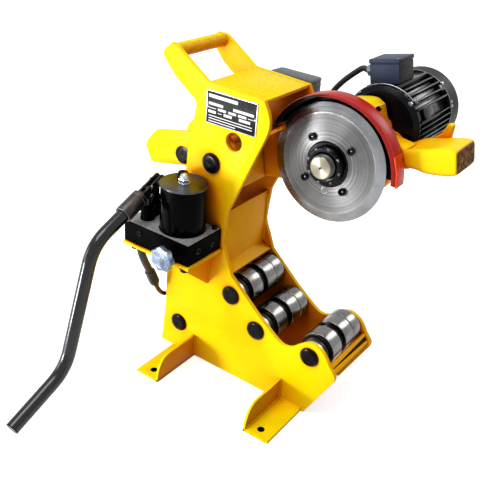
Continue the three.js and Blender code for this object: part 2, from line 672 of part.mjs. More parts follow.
function addTank() {
  const inner = TANK_RADIUS - TANK_WALL;
  const cup = alongZ(turned([
    [0, 0], [TANK_RADIUS, 0], [TANK_RADIUS, TANK_HEIGHT],
    [inner, TANK_HEIGHT], [inner, TANK_WALL], [0, TANK_WALL],
  ], FINE_STEPS));
  piece(root, "oil_tank", cup, BLACK, TANK_PLACE);

  const stud = STUD_DIAMETER / 2;
  const rim = TANK_RADIUS + LID_OVERHANG;
  const lid = alongZ(tube(rim, stud + FIT, 0, LID_THICKNESS, FINE_STEPS));
  const breather = alongZ(rod(BREATHER_DIAMETER / 2, 0, LID_THICKNESS + BREATHER_HEIGHT, SMALL_STEPS));
  breather.translate(-TANK_RADIUS * BREATHER_SHARE, TANK_RADIUS * BREATHER_SHARE, 0);
  const lidPlace = [TANK_PLACE[0], TANK_PLACE[1], TANK_PLACE[2] + TANK_HEIGHT + FIT];
  piece(root, "tank_lid", join(lid, breather), DARK_STEEL, lidPlace);

  const nutBase = LID_THICKNESS + FIT;
  const hexRadius = ACORN_WIDTH / Math.sqrt(3);
  const dome = ACORN_WIDTH / 2 - 2 * FIT;
  const hex = alongZ(turned([
    [0, nutBase], [hexRadius, nutBase], [hexRadius, nutBase + ACORN_HEIGHT], [0, nutBase + ACORN_HEIGHT],
  ], 6));
  const cap = [[0, nutBase]];
  for (let i = 0; i <= CAP_STEPS; i += 1) {
    const angle = (i / CAP_STEPS) * (Math.PI / 2);
    cap.push([dome * Math.cos(angle), nutBase + ACORN_HEIGHT + dome * Math.sin(angle)]);
  }
  cap.splice(1, 0, [dome, nutBase]);
  const studDown = alongZ(rod(stud, TANK_WALL - TANK_HEIGHT, nutBase + FIT, SMALL_STEPS));
  piece(root, "acorn_nut", join(hex, alongZ(turned(cap, SMALL_STEPS)), studDown), CHROME, lidPlace);
}

// A casting with the piston's bore and, behind it, the post that carries the lever's pivot bolt
function addPumpBarrel() {
  const away = PISTON_Y - LEVER_PIVOT[1];
  const barrel = alongZ(rod(BARREL_DIAMETER / 2, 0, BARREL_HEIGHT)).translate(0, away, 0);
  const half = POST_DEPTH / 2;
  const tang = [-TANG_WIDTH / 2, TANG_WIDTH / 2];
  const base = block([-half, half], [away, half], [0, TANK_WALL]);
  const post = block([-half, half], [-half, half], [0, LEVER_PIVOT_HEIGHT - POST_SHOULDER_DROP]);
  const top = block(tang, [-half, half], [0, LEVER_PIVOT_HEIGHT]);
  const eye = alongX(rod(half, ...tang, SMALL_STEPS)).translate(0, 0, LEVER_PIVOT_HEIGHT);
  const boltHole = alongX(rod(LEVER_BOLT_DIAMETER / 2 + FIT, -POST_DEPTH, POST_DEPTH, SMALL_STEPS));
  boltHole.translate(0, 0, LEVER_PIVOT_HEIGHT);
  const bore = alongZ(rod(PISTON_DIAMETER / 2 + FIT, TANK_WALL, BARREL_HEIGHT + OVERRUN));
  bore.translate(0, away, 0);
  const casting = cut(join(barrel, base, post, top, eye), boltHole, bore);
  piece(root, "pump_barrel", casting, BLACK, [LEVER_X, LEVER_PIVOT[1], BLOCK_TOP + FIT]);
}

// The piston's shank ends in a flat tang that fits between the fork's bars
function addPiston() {
  const pinZ = LEVER_PIVOT[2] - LINK_DROP;
  const bottom = BLOCK_TOP + 2 * FIT + TANK_WALL + RUNNING - pinZ;
  const half = PISTON_DIAMETER / 2;
  const tangHalf = TANG_WIDTH / 2;
  const shank = alongZ(rod(half, bottom, -PISTON_SHOULDER_DROP));
  const tang = block([-tangHalf, tangHalf], [-half + FIT, half - FIT], [-PISTON_SHOULDER_DROP - FIT, 0]);
  const head = alongX(rod(half - FIT, -tangHalf, tangHalf));
  const pin = alongX(rod(PISTON_PIN_DIAMETER / 2, -FORK_OUTER, FORK_OUTER, SMALL_STEPS));
  piece(root, "pump_piston", join(shank, tang, head, pin), STEEL, [LEVER_X, PISTON_Y, pinZ]);
}

// The lever's own frame has its origin on the pivot bolt, with -Y out along the socket
function forkBar(side) {
  const inner = FORK_GAP / 2;
  const shape = new THREE.Shape();
  const half = FORK_BAR_DEPTH / 2;
  shape.moveTo(FORK_TAIL, -half);
  shape.lineTo(FORK_TAIL, half);
  shape.lineTo(-SOCKET_START - FORK_BAR_DEPTH / 2, half);
  shape.lineTo(-SOCKET_START - FORK_BAR_DEPTH / 2, -half);
  const slotHalf = PISTON_PIN_DIAMETER / 2 + FORK_SLOT_PLAY;
  const near = -LEVER_LINK_RADIUS - slotHalf;
  const far = -LINK_ACROSS + slotHalf;
  const slot = new THREE.Path();
  slot.moveTo(near, -slotHalf);
  slot.lineTo(far, -slotHalf);
  slot.lineTo(far, slotHalf);
  slot.lineTo(near, slotHalf);
  shape.holes.push(slot);
  const bar = new THREE.ExtrudeGeometry(shape, { depth: FORK_BAR_THICKNESS, bevelEnabled: false });
  bar.applyMatrix4(new THREE.Matrix4().makeBasis(
    new THREE.Vector3(0, 1, 0), new THREE.Vector3(0, 0, 1), new THREE.Vector3(1, 0, 0)));
  return bar.translate(side > 0 ? inner : -inner - FORK_BAR_THICKNESS, 0, 0);
}

function addLever() {
  const lever = new THREE.Group();
  lever.position.set(...LEVER_PIVOT);
  lever.rotation.x = degrees(LEVER_ANGLE_DEGREES);
  root.add(lever);

  const socketEnd = -SOCKET_START - SOCKET_LENGTH;
  const radius = SOCKET_DIAMETER / 2;
  const bore = LEVER_TUBE_DIAMETER / 2 + FIT;
  const socket = rod(radius, socketEnd, -SOCKET_START);
  const socketBore = rod(bore, socketEnd - OVERRUN, socketEnd + LEVER_TUBE_INSERT + FIT);
  const boltEnd = FORK_OUTER + LEVER_BOLT_HEAD;
  const bolt = alongX(rod(LEVER_BOLT_DIAMETER / 2, -boltEnd, boltEnd, SMALL_STEPS));
  const fork = cut(join(socket, forkBar(1), forkBar(-1), bolt), socketBore);
  piece(lever, "lever_fork", fork, DARK_STEEL);
  piece(lever, "lever_tube", leverTube(socketEnd), BLACK);
}

// The tube leaves the socket, bends steeply down and then out again above the floor
function leverTube(socketEnd) {
  const second = degrees(LEVER_SECOND_RUN_DEGREES - LEVER_ANGLE_DEGREES);
  const third = degrees(LEVER_THIRD_RUN_DEGREES - LEVER_ANGLE_DEGREES);
  const start = new THREE.Vector3(0, socketEnd + LEVER_TUBE_INSERT, 0);
  const knee = new THREE.Vector3(0, -SOCKET_START - LEVER_FIRST_RUN, 0);
  const secondRun = new THREE.Vector3(0, -Math.cos(second), -Math.sin(second));
  const ankle = knee.clone().addScaledVector(secondRun, LEVER_SECOND_RUN);
  const thirdRun = new THREE.Vector3(0, -Math.cos(third), -Math.sin(third));
  const end = ankle.clone().addScaledVector(thirdRun, LEVER_THIRD_RUN);
  const bent = new BentPath([start, knee, ankle, end], [LEVER_BEND_RUN, LEVER_BEND_RUN]);
  return sweep(bent, LEVER_TUBE_DIAMETER, SMALL_STEPS, 2 * SMALL_STEPS);
}

// Straight runs joined by bends, each a quadratic curve that starts and ends a run from its corner
class BentPath extends THREE.CurvePath {
  constructor(corners, bends) {
    super();
    let from = corners[0];
    for (let i = 1; i < corners.length - 1; i += 1) {
      const back = corners[i - 1].clone().sub(corners[i]).setLength(bends[i - 1]);
      const on = corners[i + 1].clone().sub(corners[i]).setLength(bends[i - 1]);
      const enter = corners[i].clone().add(back);
      const leave = corners[i].clone().add(on);
      this.add(new THREE.LineCurve3(from, enter));
      this.add(new THREE.QuadraticBezierCurve3(enter, corners[i], leave));
      from = leave;
    }
    this.add(new THREE.LineCurve3(from, corners[corners.length - 1]));
  }
}

// The release knob is a lobed handwheel on a stem in the pump block
const KNOB_PLACE = [
  TANK_PLACE[0] + TANK_RADIUS * KNOB_ALONG_SHARE,
  BLOCK_BASE + PUMP_BLOCK_HEIGHT * KNOB_HEIGHT_SHARE,
];

function addKnob() {
  const points = [];
  const steps = KNOB_LOBES * KNOB_LOBE_STEPS;
  for (let i = 0; i < steps; i += 1) {
    const angle = (i / steps) * 2 * Math.PI;
    const wave = (Math.cos(KNOB_LOBES * angle) - 1) / 2;
    const radius = KNOB_DIAMETER / 2 + KNOB_LOBE_DEPTH * wave;
    points.push([radius * Math.cos(angle), radius * Math.sin(angle)]);
  }
  const wheel = extruded(polygon(points), -KNOB_STEM_LENGTH - KNOB_WIDTH, -KNOB_STEM_LENGTH);
  const stem = rod(KNOB_STEM_DIAMETER / 2, -KNOB_STEM_LENGTH - FIT, KNOB_STEM_LENGTH - FIT);
  piece(root, "release_knob", join(wheel, stem), ZINC, [KNOB_PLACE[0], BLOCK_NEAR, KNOB_PLACE[1]]);
}

// Hydraulic cylinder between its lower pin and the arm's tail pin
const ARM_TILT = degrees(ARM_TILT_DEGREES);

function armToWorld(along, up) {
  const x = PIVOT[0] + along * Math.cos(ARM_TILT) - up * Math.sin(ARM_TILT);
  const z = PIVOT[1] + along * Math.sin(ARM_TILT) + up * Math.cos(ARM_TILT);
  return [x, z];
}

const TAIL_PIN = armToWorld(-TAIL_PIN_REACH, TAIL_PIN_RISE);
const CYLINDER_SPAN = Math.hypot(TAIL_PIN[0] - CYLINDER_PIN[0], TAIL_PIN[1] - CYLINDER_PIN[1]);
const CYLINDER_LEAN = Math.atan2(TAIL_PIN[0] - CYLINDER_PIN[0], TAIL_PIN[1] - CYLINDER_PIN[1]);

function addCylinder() {
  const cylinder = new THREE.Group();
  cylinder.position.set(CYLINDER_PIN[0], 0, CYLINDER_PIN[1]);
  cylinder.rotation.y = CYLINDER_LEAN;
  root.add(cylinder);

  const outer = CYLINDER_DIAMETER / 2;
  const bore = CYLINDER_BORE / 2;
  const base = -CYLINDER_PIN_DIAMETER;
  const top = base + CYLINDER_LENGTH;
  const floor = CYLINDER_PIN_DIAMETER / 2 + CYLINDER_FLOOR;
  const gland = ROD_DIAMETER / 2 + FIT;
  const shell = alongZ(turned([
    [0, base], [outer, base], [outer, top], [gland, top],
    [gland, top - CYLINDER_FLOOR], [bore, top - CYLINDER_FLOOR], [bore, floor], [0, floor],
  ], FINE_STEPS));
  const pinHole = rod(CYLINDER_PIN_DIAMETER / 2 + FIT, -CYLINDER_DIAMETER, CYLINDER_DIAMETER);
  const portHole = alongX(rod(PORT_DIAMETER / 2, -outer - OVERRUN, -bore + OVERRUN, SMALL_STEPS));
  portHole.translate(0, 0, PORT_HEIGHT);
  piece(cylinder, "cylinder_barrel", cut(shell, pinHole, portHole), BLACK);

  const rodRadius = ROD_DIAMETER / 2;
  const pistonBase = floor + RUNNING;
  const eye = ROD_EYE_DIAMETER / 2;
  const shaft = alongZ(turned([
    [0, pistonBase], [bore - FIT, pistonBase], [bore - FIT, pistonBase + CYLINDER_FLOOR],
    [rodRadius, pistonBase + CYLINDER_FLOOR], [rodRadius, CYLINDER_SPAN], [0, CYLINDER_SPAN],
  ]));
  const eyeBody = rod(eye, -ROD_EYE_WIDTH / 2, ROD_EYE_WIDTH / 2).translate(0, 0, CYLINDER_SPAN);
  const slotRadius = TAIL_PIN_DIAMETER / 2 + EYE_SLOT_LIFT_PLAY;
  const slotShift = EYE_SLOT_SIDE_PLAY - EYE_SLOT_LIFT_PLAY;
  const across = [-ROD_EYE_WIDTH, ROD_EYE_WIDTH];
  const slot = join(
    block([-slotShift, slotShift], across, [-slotRadius, slotRadius]),
    rod(slotRadius, ...across).translate(-slotShift, 0, 0),
    rod(slotRadius, ...across).translate(slotShift, 0, 0),
  ).translate(0, 0, CYLINDER_SPAN);
  piece(cylinder, "cylinder_rod", cut(join(shaft, eyeBody), slot), STEEL);
  addElbow(cylinder);
}

// The elbow leaves the cylinder's rear port, runs to the near side and turns up towards the hose.
// Its points are in the cylinder's own frame.
const PORT_FACE = -CYLINDER_DIAMETER / 2;
const HOSE_LEAN = degrees(HOSE_LEAN_DEGREES);
const HOSE_DIRECTION = new THREE.Vector3(0, -Math.sin(HOSE_LEAN), Math.cos(HOSE_LEAN));
const ELBOW_CORNER = new THREE.Vector3(PORT_FACE - ELBOW_STANDOFF, -ELBOW_REACH, PORT_HEIGHT);
const FERRULE_CENTRE = ELBOW_CORNER.clone().addScaledVector(HOSE_DIRECTION, ELBOW_RUN);

function addElbow(cylinder) {
  const corners = [
    new THREE.Vector3(PORT_FACE - FIT, 0, PORT_HEIGHT),
    new THREE.Vector3(PORT_FACE - ELBOW_STANDOFF, 0, PORT_HEIGHT),
    ELBOW_CORNER,
    FERRULE_CENTRE,
  ];
  const path = new BentPath(corners, [ELBOW_TIGHT_BEND, ELBOW_WIDE_BEND]);
  const pipe = sweep(path, PORT_DIAMETER, TUBE_SIDES, ELBOW_STEPS);
  const ferrule = rod(FERRULE_DIAMETER / 2, -FERRULE_LENGTH / 2, FERRULE_LENGTH / 2, SMALL_STEPS);
  const turn = new THREE.Quaternion().setFromUnitVectors(new THREE.Vector3(0, 1, 0), HOSE_DIRECTION);
  ferrule.applyQuaternion(turn).translate(...FERRULE_CENTRE.toArray());
  piece(cylinder, "hose_elbow", join(pipe, ferrule), COPPER);
}

const HOSE_TOP = [BLOCK_REAR + HOSE_REAR_SETBACK, BLOCK_NEAR + HOSE_NEAR_SETBACK];

function addHose() {
  const up = new THREE.Vector3(0, 1, 0);
  const along = HOSE_DIRECTION.clone().applyAxisAngle(up, CYLINDER_LEAN);
  const tip = FERRULE_CENTRE.clone().addScaledVector(HOSE_DIRECTION, FERRULE_LENGTH / 2 + FIT);
  tip.applyAxisAngle(up, CYLINDER_LEAN).add(new THREE.Vector3(CYLINDER_PIN[0], 0, CYLINDER_PIN[1]));
  const top = new THREE.Vector3(HOSE_TOP[0], HOSE_TOP[1], BLOCK_BASE - FIT);
  const leave = tip.clone().addScaledVector(along, HOSE_START_RUN);
  const arrive = top.clone().add(new THREE.Vector3(0, 0, -HOSE_END_RUN));
  const curve = new THREE.CubicBezierCurve3(tip, leave, arrive, top);
  piece(root, "hydraulic_hose", sweep(curve, HOSE_DIAMETER, TUBE_SIDES, HOSE_STEPS), RUBBER);
}

// Swinging arm, in a frame with its origin on the pivot and +X along the arm
const arm = new THREE.Group();
arm.position.set(PIVOT[0], 0, PIVOT[1]);
arm.rotation.y = -ARM_TILT;
root.add(arm);
const CHEEK_OUTER = INNER - 2 * RUNNING;
const CHEEK_INNER = CHEEK_OUTER - ARM_CHEEK_THICKNESS;
const NECK_END = CASE_NECK_REACH - FIT;

function cheekShape() {
  const hub = ARM_HUB_DIAMETER / 2;
  const tail = TAIL_SHARES.map(([x, z]) => [
    x * ARM_TAIL_LENGTH,
    z * (z > 0 ? ARM_TAIL_TOP : ARM_TAIL_BOTTOM),
  ]);
  const shape = polygon([
    [hub, ARM_TAIL_TOP], [NECK_END, ARM_NECK_TOP], [NECK_END, -ARM_NECK_BOTTOM], [0, -ARM_NECK_BOTTOM],
    [-hub, -hub], ...tail,
  ]);
  withHole(shape, 0, 0, PIVOT_DIAMETER / 2 + FIT, ROUND_STEPS);
  return withHole(shape, -TAIL_PIN_REACH, TAIL_PIN_RISE, TAIL_PIN_DIAMETER / 2 + FIT, ROUND_STEPS);
}

function addSwingArm() {
  const near = extruded(cheekShape(), -CHEEK_OUTER, -CHEEK_INNER);
  const far = extruded(cheekShape(), CHEEK_INNER, CHEEK_OUTER);
  const hub = ARM_HUB_DIAMETER / 2;
  const boss = tube(hub, PIVOT_DIAMETER / 2 + FIT, -CHEEK_OUTER + FIT, CHEEK_OUTER - FIT);
  const width = [-CHEEK_OUTER + FIT, CHEEK_OUTER - FIT];
  const wall = block([NECK_END - ARM_CHEEK_THICKNESS, NECK_END], width, [-ARM_NECK_BOTTOM, ARM_NECK_TOP]);
  piece(arm, "swing_arm", join(near, far, boss, wall), YELLOW);
  const pin = rod(TAIL_PIN_DIAMETER / 2, -CHEEK_OUTER, CHEEK_OUTER);
  piece(arm, "tail_pin", pin, BLACK, [-TAIL_PIN_REACH, 0, TAIL_PIN_RISE]);
}

// Gear case: a casting open on the motor side, with the handle cast onto its front end
const IDLER_FROM_WHEEL = (SECOND_MODULE * (SECOND_PINION_TEETH + SECOND_WHEEL_TEETH)) / 2;
const IDLER_FROM_MOTOR = (FIRST_MODULE * (FIRST_PINION_TEETH + FIRST_WHEEL_TEETH)) / 2;
const WHEEL_AXIS = [WHEEL_REACH, -WHEEL_DROP];
const MOTOR_AXIS = [WHEEL_REACH + MOTOR_AHEAD, MOTOR_ABOVE - WHEEL_DROP];
const AXES_SPAN = Math.hypot(MOTOR_AXIS[0] - WHEEL_AXIS[0], MOTOR_AXIS[1] - WHEEL_AXIS[1]);
const AXES_ANGLE = Math.atan2(MOTOR_AXIS[1] - WHEEL_AXIS[1], MOTOR_AXIS[0] - WHEEL_AXIS[0]);
const IDLER_COSINE = (IDLER_FROM_WHEEL ** 2 + AXES_SPAN ** 2 - IDLER_FROM_MOTOR ** 2)
  / (2 * IDLER_FROM_WHEEL * AXES_SPAN);
const IDLER_ANGLE = AXES_ANGLE - Math.acos(IDLER_COSINE);
const IDLER_AXIS = [
  WHEEL_AXIS[0] + IDLER_FROM_WHEEL * Math.cos(IDLER_ANGLE),
  WHEEL_AXIS[1] + IDLER_FROM_WHEEL * Math.sin(IDLER_ANGLE),
];
const CAVITY_NEAR = CASE_NEAR + CASE_WALL;
const COVER_FAR = CASE_FAR + FIT + CASE_COVER_THICKNESS;
const SECOND_GEAR_Y = [CAVITY_NEAR + GEAR_SIDE_GAP, CAVITY_NEAR + GEAR_SIDE_GAP + GEAR_WIDTH];
const FIRST_GEAR_Y = [SECOND_GEAR_Y[1] + GEAR_SIDE_GAP, SECOND_GEAR_Y[1] + GEAR_SIDE_GAP + GEAR_WIDTH];
const JOURNAL = SPINDLE_JOURNAL_DIAMETER / 2;
const MOTOR_RADIUS = MOTOR_DIAMETER / 2;
const IDLER_JOURNAL = ROTOR_SHAFT_DIAMETER / 2;

// Round pockets for the gears, one per axis, each with its teeth's outer radius and a margin
function gearPockets(from, to, margin) {
  const spindle = (SECOND_MODULE * SECOND_WHEEL_TEETH) / 2 + SECOND_MODULE + margin;
  const idler = (FIRST_MODULE * FIRST_WHEEL_TEETH) / 2 + FIRST_MODULE + margin;
  const motor = (FIRST_MODULE * FIRST_PINION_TEETH) / 2 + FIRST_MODULE + margin;
  return [
    rod(spindle, from, to, FINE_STEPS).translate(WHEEL_AXIS[0], 0, WHEEL_AXIS[1]),
    rod(idler, from, to, FINE_STEPS).translate(IDLER_AXIS[0], 0, IDLER_AXIS[1]),
    rod(motor, from, to, ROUND_STEPS).translate(MOTOR_AXIS[0], 0, MOTOR_AXIS[1]),
  ];
}

const COVER_MARGIN = GEAR_SIDE_GAP + CASE_WALL;

// The case's outline runs back to the neck and forward to the nose, each with its own length
function caseSolid(from, to) {
  const neck = WHEEL_REACH - CASE_NECK_REACH;
  const runs = CASE_OUTLINE_SHARES.map(({ curved, points }) => ({
    curved,
    points: points.map(([x, z]) => [WHEEL_REACH + x * (x < 0 ? neck : CASE_FRONT), z * CASE_HEIGHT]),
  }));
  return extruded(outline(runs, 1, 1), from, to);
}

// The handle with the rib on its far side that stands up beside the motor
function castHandle(nearFace, farFace) {
  const side = outline(CAST_HANDLE_SHARES, CAST_HANDLE_LENGTH, CAST_HANDLE_HEIGHT);
  const body = extruded(side, nearFace, farFace);
  const ribOutline = HANDLE_RIB_SHARES.map(([x, z]) => [x * CAST_HANDLE_LENGTH, z * CAST_HANDLE_HEIGHT]);
  const rib = extruded(polygon(ribOutline), farFace - HANDLE_RIB_THICKNESS, farFace);
  return join(body, rib).translate(WHEEL_REACH + CAST_HANDLE_AHEAD, 0, 0);
}

function addGearCase() {
  const body = caseSolid(CASE_NEAR, CASE_FAR);
  const farFace = CAST_HANDLE_NEAR + CAST_HANDLE_WIDTH;
  const spindleBore = rod(JOURNAL + RUNNING, CASE_NEAR - OVERRUN, CASE_FAR, FINE_STEPS);
  spindleBore.translate(WHEEL_AXIS[0], 0, WHEEL_AXIS[1]);
  const idlerBore = rod(IDLER_JOURNAL + RUNNING, CASE_NEAR + CASE_WALL / 2, CASE_FAR, ROUND_STEPS);
  idlerBore.translate(IDLER_AXIS[0], 0, IDLER_AXIS[1]);
  const pockets = gearPockets(CAVITY_NEAR, CASE_FAR + OVERRUN, GEAR_SIDE_GAP);
  const behind = farFace + OVERRUN;
  const coverRoom = gearPockets(CASE_FAR, behind, COVER_MARGIN + FIT);
  const motorRoom = rod(MOTOR_RADIUS + 2 * RUNNING, CASE_FAR, behind, FINE_STEPS);
  motorRoom.translate(MOTOR_AXIS[0], 0, MOTOR_AXIS[1]);
  const caseRoom = caseSolid(CASE_FAR, behind);
  const trimmed = cut(castHandle(CAST_HANDLE_NEAR, farFace), caseRoom, motorRoom, ...coverRoom);
  piece(arm, "gear_case", cut(join(body, trimmed), spindleBore, idlerBore, ...pockets), YELLOW);
}

function addCaseCover() {
  const from = CASE_FAR + FIT;
  const discs = join(...gearPockets(from, COVER_FAR, COVER_MARGIN));
  const plate = common(discs, caseSolid(from - OVERRUN, COVER_FAR + OVERRUN));
  const spindleBore = rod(JOURNAL + RUNNING, from - OVERRUN, COVER_FAR + OVERRUN, FINE_STEPS);
  spindleBore.translate(WHEEL_AXIS[0], 0, WHEEL_AXIS[1]);
  const idlerBore = rod(IDLER_JOURNAL + RUNNING, from - OVERRUN, COVER_FAR + OVERRUN, ROUND_STEPS);
  idlerBore.translate(IDLER_AXIS[0], 0, IDLER_AXIS[1]);
  const pinion = (FIRST_MODULE * FIRST_PINION_TEETH) / 2 + 2 * FIRST_MODULE;
  const motorBore = rod(pinion, from - OVERRUN, COVER_FAR + OVERRUN);
  motorBore.translate(MOTOR_AXIS[0], 0, MOTOR_AXIS[1]);
  piece(arm, "gear_case_cover", cut(plate, spindleBore, idlerBore, motorBore), YELLOW);
}

// A spur gear with straight-flanked teeth, one tooth centred on the given angle
const TOOTH_ROOT_SHARE = 0.31;
const TOOTH_TIP_SHARE = 0.11;
const ADDENDUM_SHARE = 0.95;
const DEDENDUM_SHARE = 1.25;

function gear(size, teeth, toothAngle, span) {
  const pitch = (2 * Math.PI) / teeth;
  const root = (size * teeth) / 2 - DEDENDUM_SHARE * size;
  const tip = (size * teeth) / 2 + ADDENDUM_SHARE * size;
  const points = [];
  for (let i = 0; i < teeth; i += 1) {
    const centre = toothAngle + i * pitch;
    const corners = [
      [root, -TOOTH_ROOT_SHARE], [tip, -TOOTH_TIP_SHARE], [tip, TOOTH_TIP_SHARE], [root, TOOTH_ROOT_SHARE],
    ];
    for (const [radius, share] of corners) {
      const angle = centre + share * pitch;
      points.push([radius * Math.cos(angle), radius * Math.sin(angle)]);
    }
  }
  return extruded(polygon(points), ...span);
}

function addGears() {
  const toWheel = IDLER_ANGLE + Math.PI;
  const toMotor = Math.atan2(MOTOR_AXIS[1] - IDLER_AXIS[1], MOTOR_AXIS[0] - IDLER_AXIS[0]);
  const farEnd = COVER_FAR;
  const idler = join(
    gear(FIRST_MODULE, FIRST_WHEEL_TEETH, toMotor + Math.PI / FIRST_WHEEL_TEETH, FIRST_GEAR_Y),
    gear(SECOND_MODULE, SECOND_PINION_TEETH, toWheel, [SECOND_GEAR_Y[0], FIRST_GEAR_Y[0] + FIT]),
    rod(IDLER_JOURNAL, CASE_NEAR + CASE_WALL / 2 + FIT, farEnd, ROUND_STEPS),
  );
  piece(arm, "idler_gear", idler, DARK_STEEL, [IDLER_AXIS[0], 0, IDLER_AXIS[1]]);

  const noseRadius = SPINDLE_NOSE_DIAMETER / 2;
  const flange = SPINDLE_FLANGE_DIAMETER / 2;
  const wheelBack = WHEEL_NEAR_FACE + WHEEL_THICKNESS + FIT;
  const flangeBack = GUARD_BACK - GUARD_WALL - 2 * FIT;
  const spindle = join(
    turned([
      [0, SPINDLE_NOSE_END], [noseRadius - ROLLER_CHAMFER, SPINDLE_NOSE_END],
      [noseRadius, SPINDLE_NOSE_END + ROLLER_CHAMFER], [noseRadius, wheelBack], [flange, wheelBack],
      [flange, flangeBack], [JOURNAL, flangeBack], [JOURNAL, farEnd], [0, farEnd],
    ], FINE_STEPS),
    gear(SECOND_MODULE, SECOND_WHEEL_TEETH, IDLER_ANGLE + Math.PI / SECOND_WHEEL_TEETH, SECOND_GEAR_Y),
  );
  piece(arm, "spindle", spindle, BRASS, [WHEEL_AXIS[0], 0, WHEEL_AXIS[1]]);
}

function addCutter() {
  const edge = WHEEL_DIAMETER / 2;
  const face = WHEEL_FACE_DIAMETER / 2;
  const bore = SPINDLE_NOSE_DIAMETER / 2 + FIT;
  const near = WHEEL_NEAR_FACE;
  const far = near + WHEEL_THICKNESS;
  const middle = (near + far) / 2;
  const land = WHEEL_EDGE_THICKNESS / 2;
  const wheel = turned([
    [bore, near], [face, near], [edge, middle - land], [edge, middle + land],
    [face, far], [bore, far], [bore, near],
  ], 2 * FINE_STEPS);
  const place = [WHEEL_AXIS[0], 0, WHEEL_AXIS[1]];
  piece(arm, "cutting_wheel", wheel, STEEL, place);

  const nut = LOCK_NUT_DIAMETER / 2;
  const washer = TAB_WASHER_DIAMETER / 2;
  const washerBack = near - FIT;
  const washerFront = washerBack - TAB_WASHER_THICKNESS;
  const nutFront = washerFront - LOCK_NUT_THICKNESS;
  const body = turned([
    [bore, nutFront], [nut - ROLLER_CHAMFER, nutFront], [nut, nutFront + ROLLER_CHAMFER],
    [nut, washerFront], [washer, washerFront], [washer, washerBack], [bore, washerBack], [bore, nutFront],
  ], FINE_STEPS);
  const slots = [0, 1, 2, 3].map((i) => {
    const half = NUT_SLOT_WIDTH / 2;
    const depth = [nut - NUT_SLOT_DEPTH, nut + OVERRUN];
    const slot = block(depth, [nutFront - OVERRUN, washerFront], [-half, half]);
    return slot.rotateY((i * Math.PI) / 2 + Math.PI / 8);
  });
  piece(arm, "lock_nut", cut(body, ...slots), BLACK, place);
}

function addGuard() {
  const outer = GUARD_RADIUS;
  const inner = outer - GUARD_WALL;
  const start = degrees(GUARD_START_DEGREES);
  const end = degrees(GUARD_END_DEGREES);
  const steps = FINE_STEPS;
  const arc = (radius, from, to) => {
    const points = [];
    for (let i = 0; i <= steps; i += 1) {
      const angle = from + ((to - from) * i) / steps;
      points.push([radius * Math.cos(angle), radius * Math.sin(angle)]);
    }
    return points;
  };
  const hub = SPINDLE_FLANGE_DIAMETER / 2;
  const bandShape = polygon([...arc(outer, start, end), ...arc(inner, end, start)]);
  const band = extruded(bandShape, GUARD_FRONT, GUARD_BACK);
  const backShape = polygon([...arc(outer, start, end), ...arc(hub, end, start)]);
  const back = extruded(backShape, GUARD_BACK - GUARD_WALL, GUARD_BACK);
  const pad = block([-hub, hub], [GUARD_BACK - GUARD_WALL, CASE_NEAR - FIT], [0, GUARD_PAD_HEIGHT]);
  pad.translate(0, 0, GUARD_PAD_RISE);
  const place = [WHEEL_AXIS[0] + GUARD_SHIFT_ALONG, 0, WHEEL_AXIS[1] - GUARD_SHIFT_DOWN];
  piece(arm, "wheel_guard", join(band, back, pad), RED, place);
}

// Motor, its axis parallel to the rollers, bolted to the far side of the gear case
const SHIELD_NEAR = COVER_FAR + FIT;
const FRAME_NEAR = SHIELD_NEAR + END_SHIELD_LENGTH + FIT;
const FRAME_FAR = FRAME_NEAR + MOTOR_FRAME_LENGTH;
const COWL_FAR = FRAME_FAR + FIT + COWL_LENGTH;
const PAD_HEIGHT = MOTOR_RADIUS - MOTOR_FIN_DEPTH / 2;

function finnedOutline() {
  const points = [];
  const valley = MOTOR_RADIUS - MOTOR_FIN_DEPTH;
  const step = (2 * Math.PI) / MOTOR_FINS;
  const padHalf = Math.atan2(BOX_WIDTH / 2, PAD_HEIGHT);
  for (let i = 0; i < MOTOR_FINS; i += 1) {
    const centre = Math.PI / 2 + (i + 0.5) * step;
    const fromTop = Math.abs(((centre - Math.PI / 2 + Math.PI) % (2 * Math.PI)) - Math.PI);
    if (fromTop < padHalf + step / 2) continue;
    const corners = [
      [valley, -FIN_ROOT_SHARE], [MOTOR_RADIUS, -FIN_TIP_SHARE],
      [MOTOR_RADIUS, FIN_TIP_SHARE], [valley, FIN_ROOT_SHARE],
    ];
    for (const [radius, share] of corners) {
      const angle = centre + share * step;
      points.push([radius * Math.cos(angle), radius * Math.sin(angle)]);
    }
  }
  points.push([BOX_WIDTH / 2, PAD_HEIGHT], [-BOX_WIDTH / 2, PAD_HEIGHT]);
  return points;
}

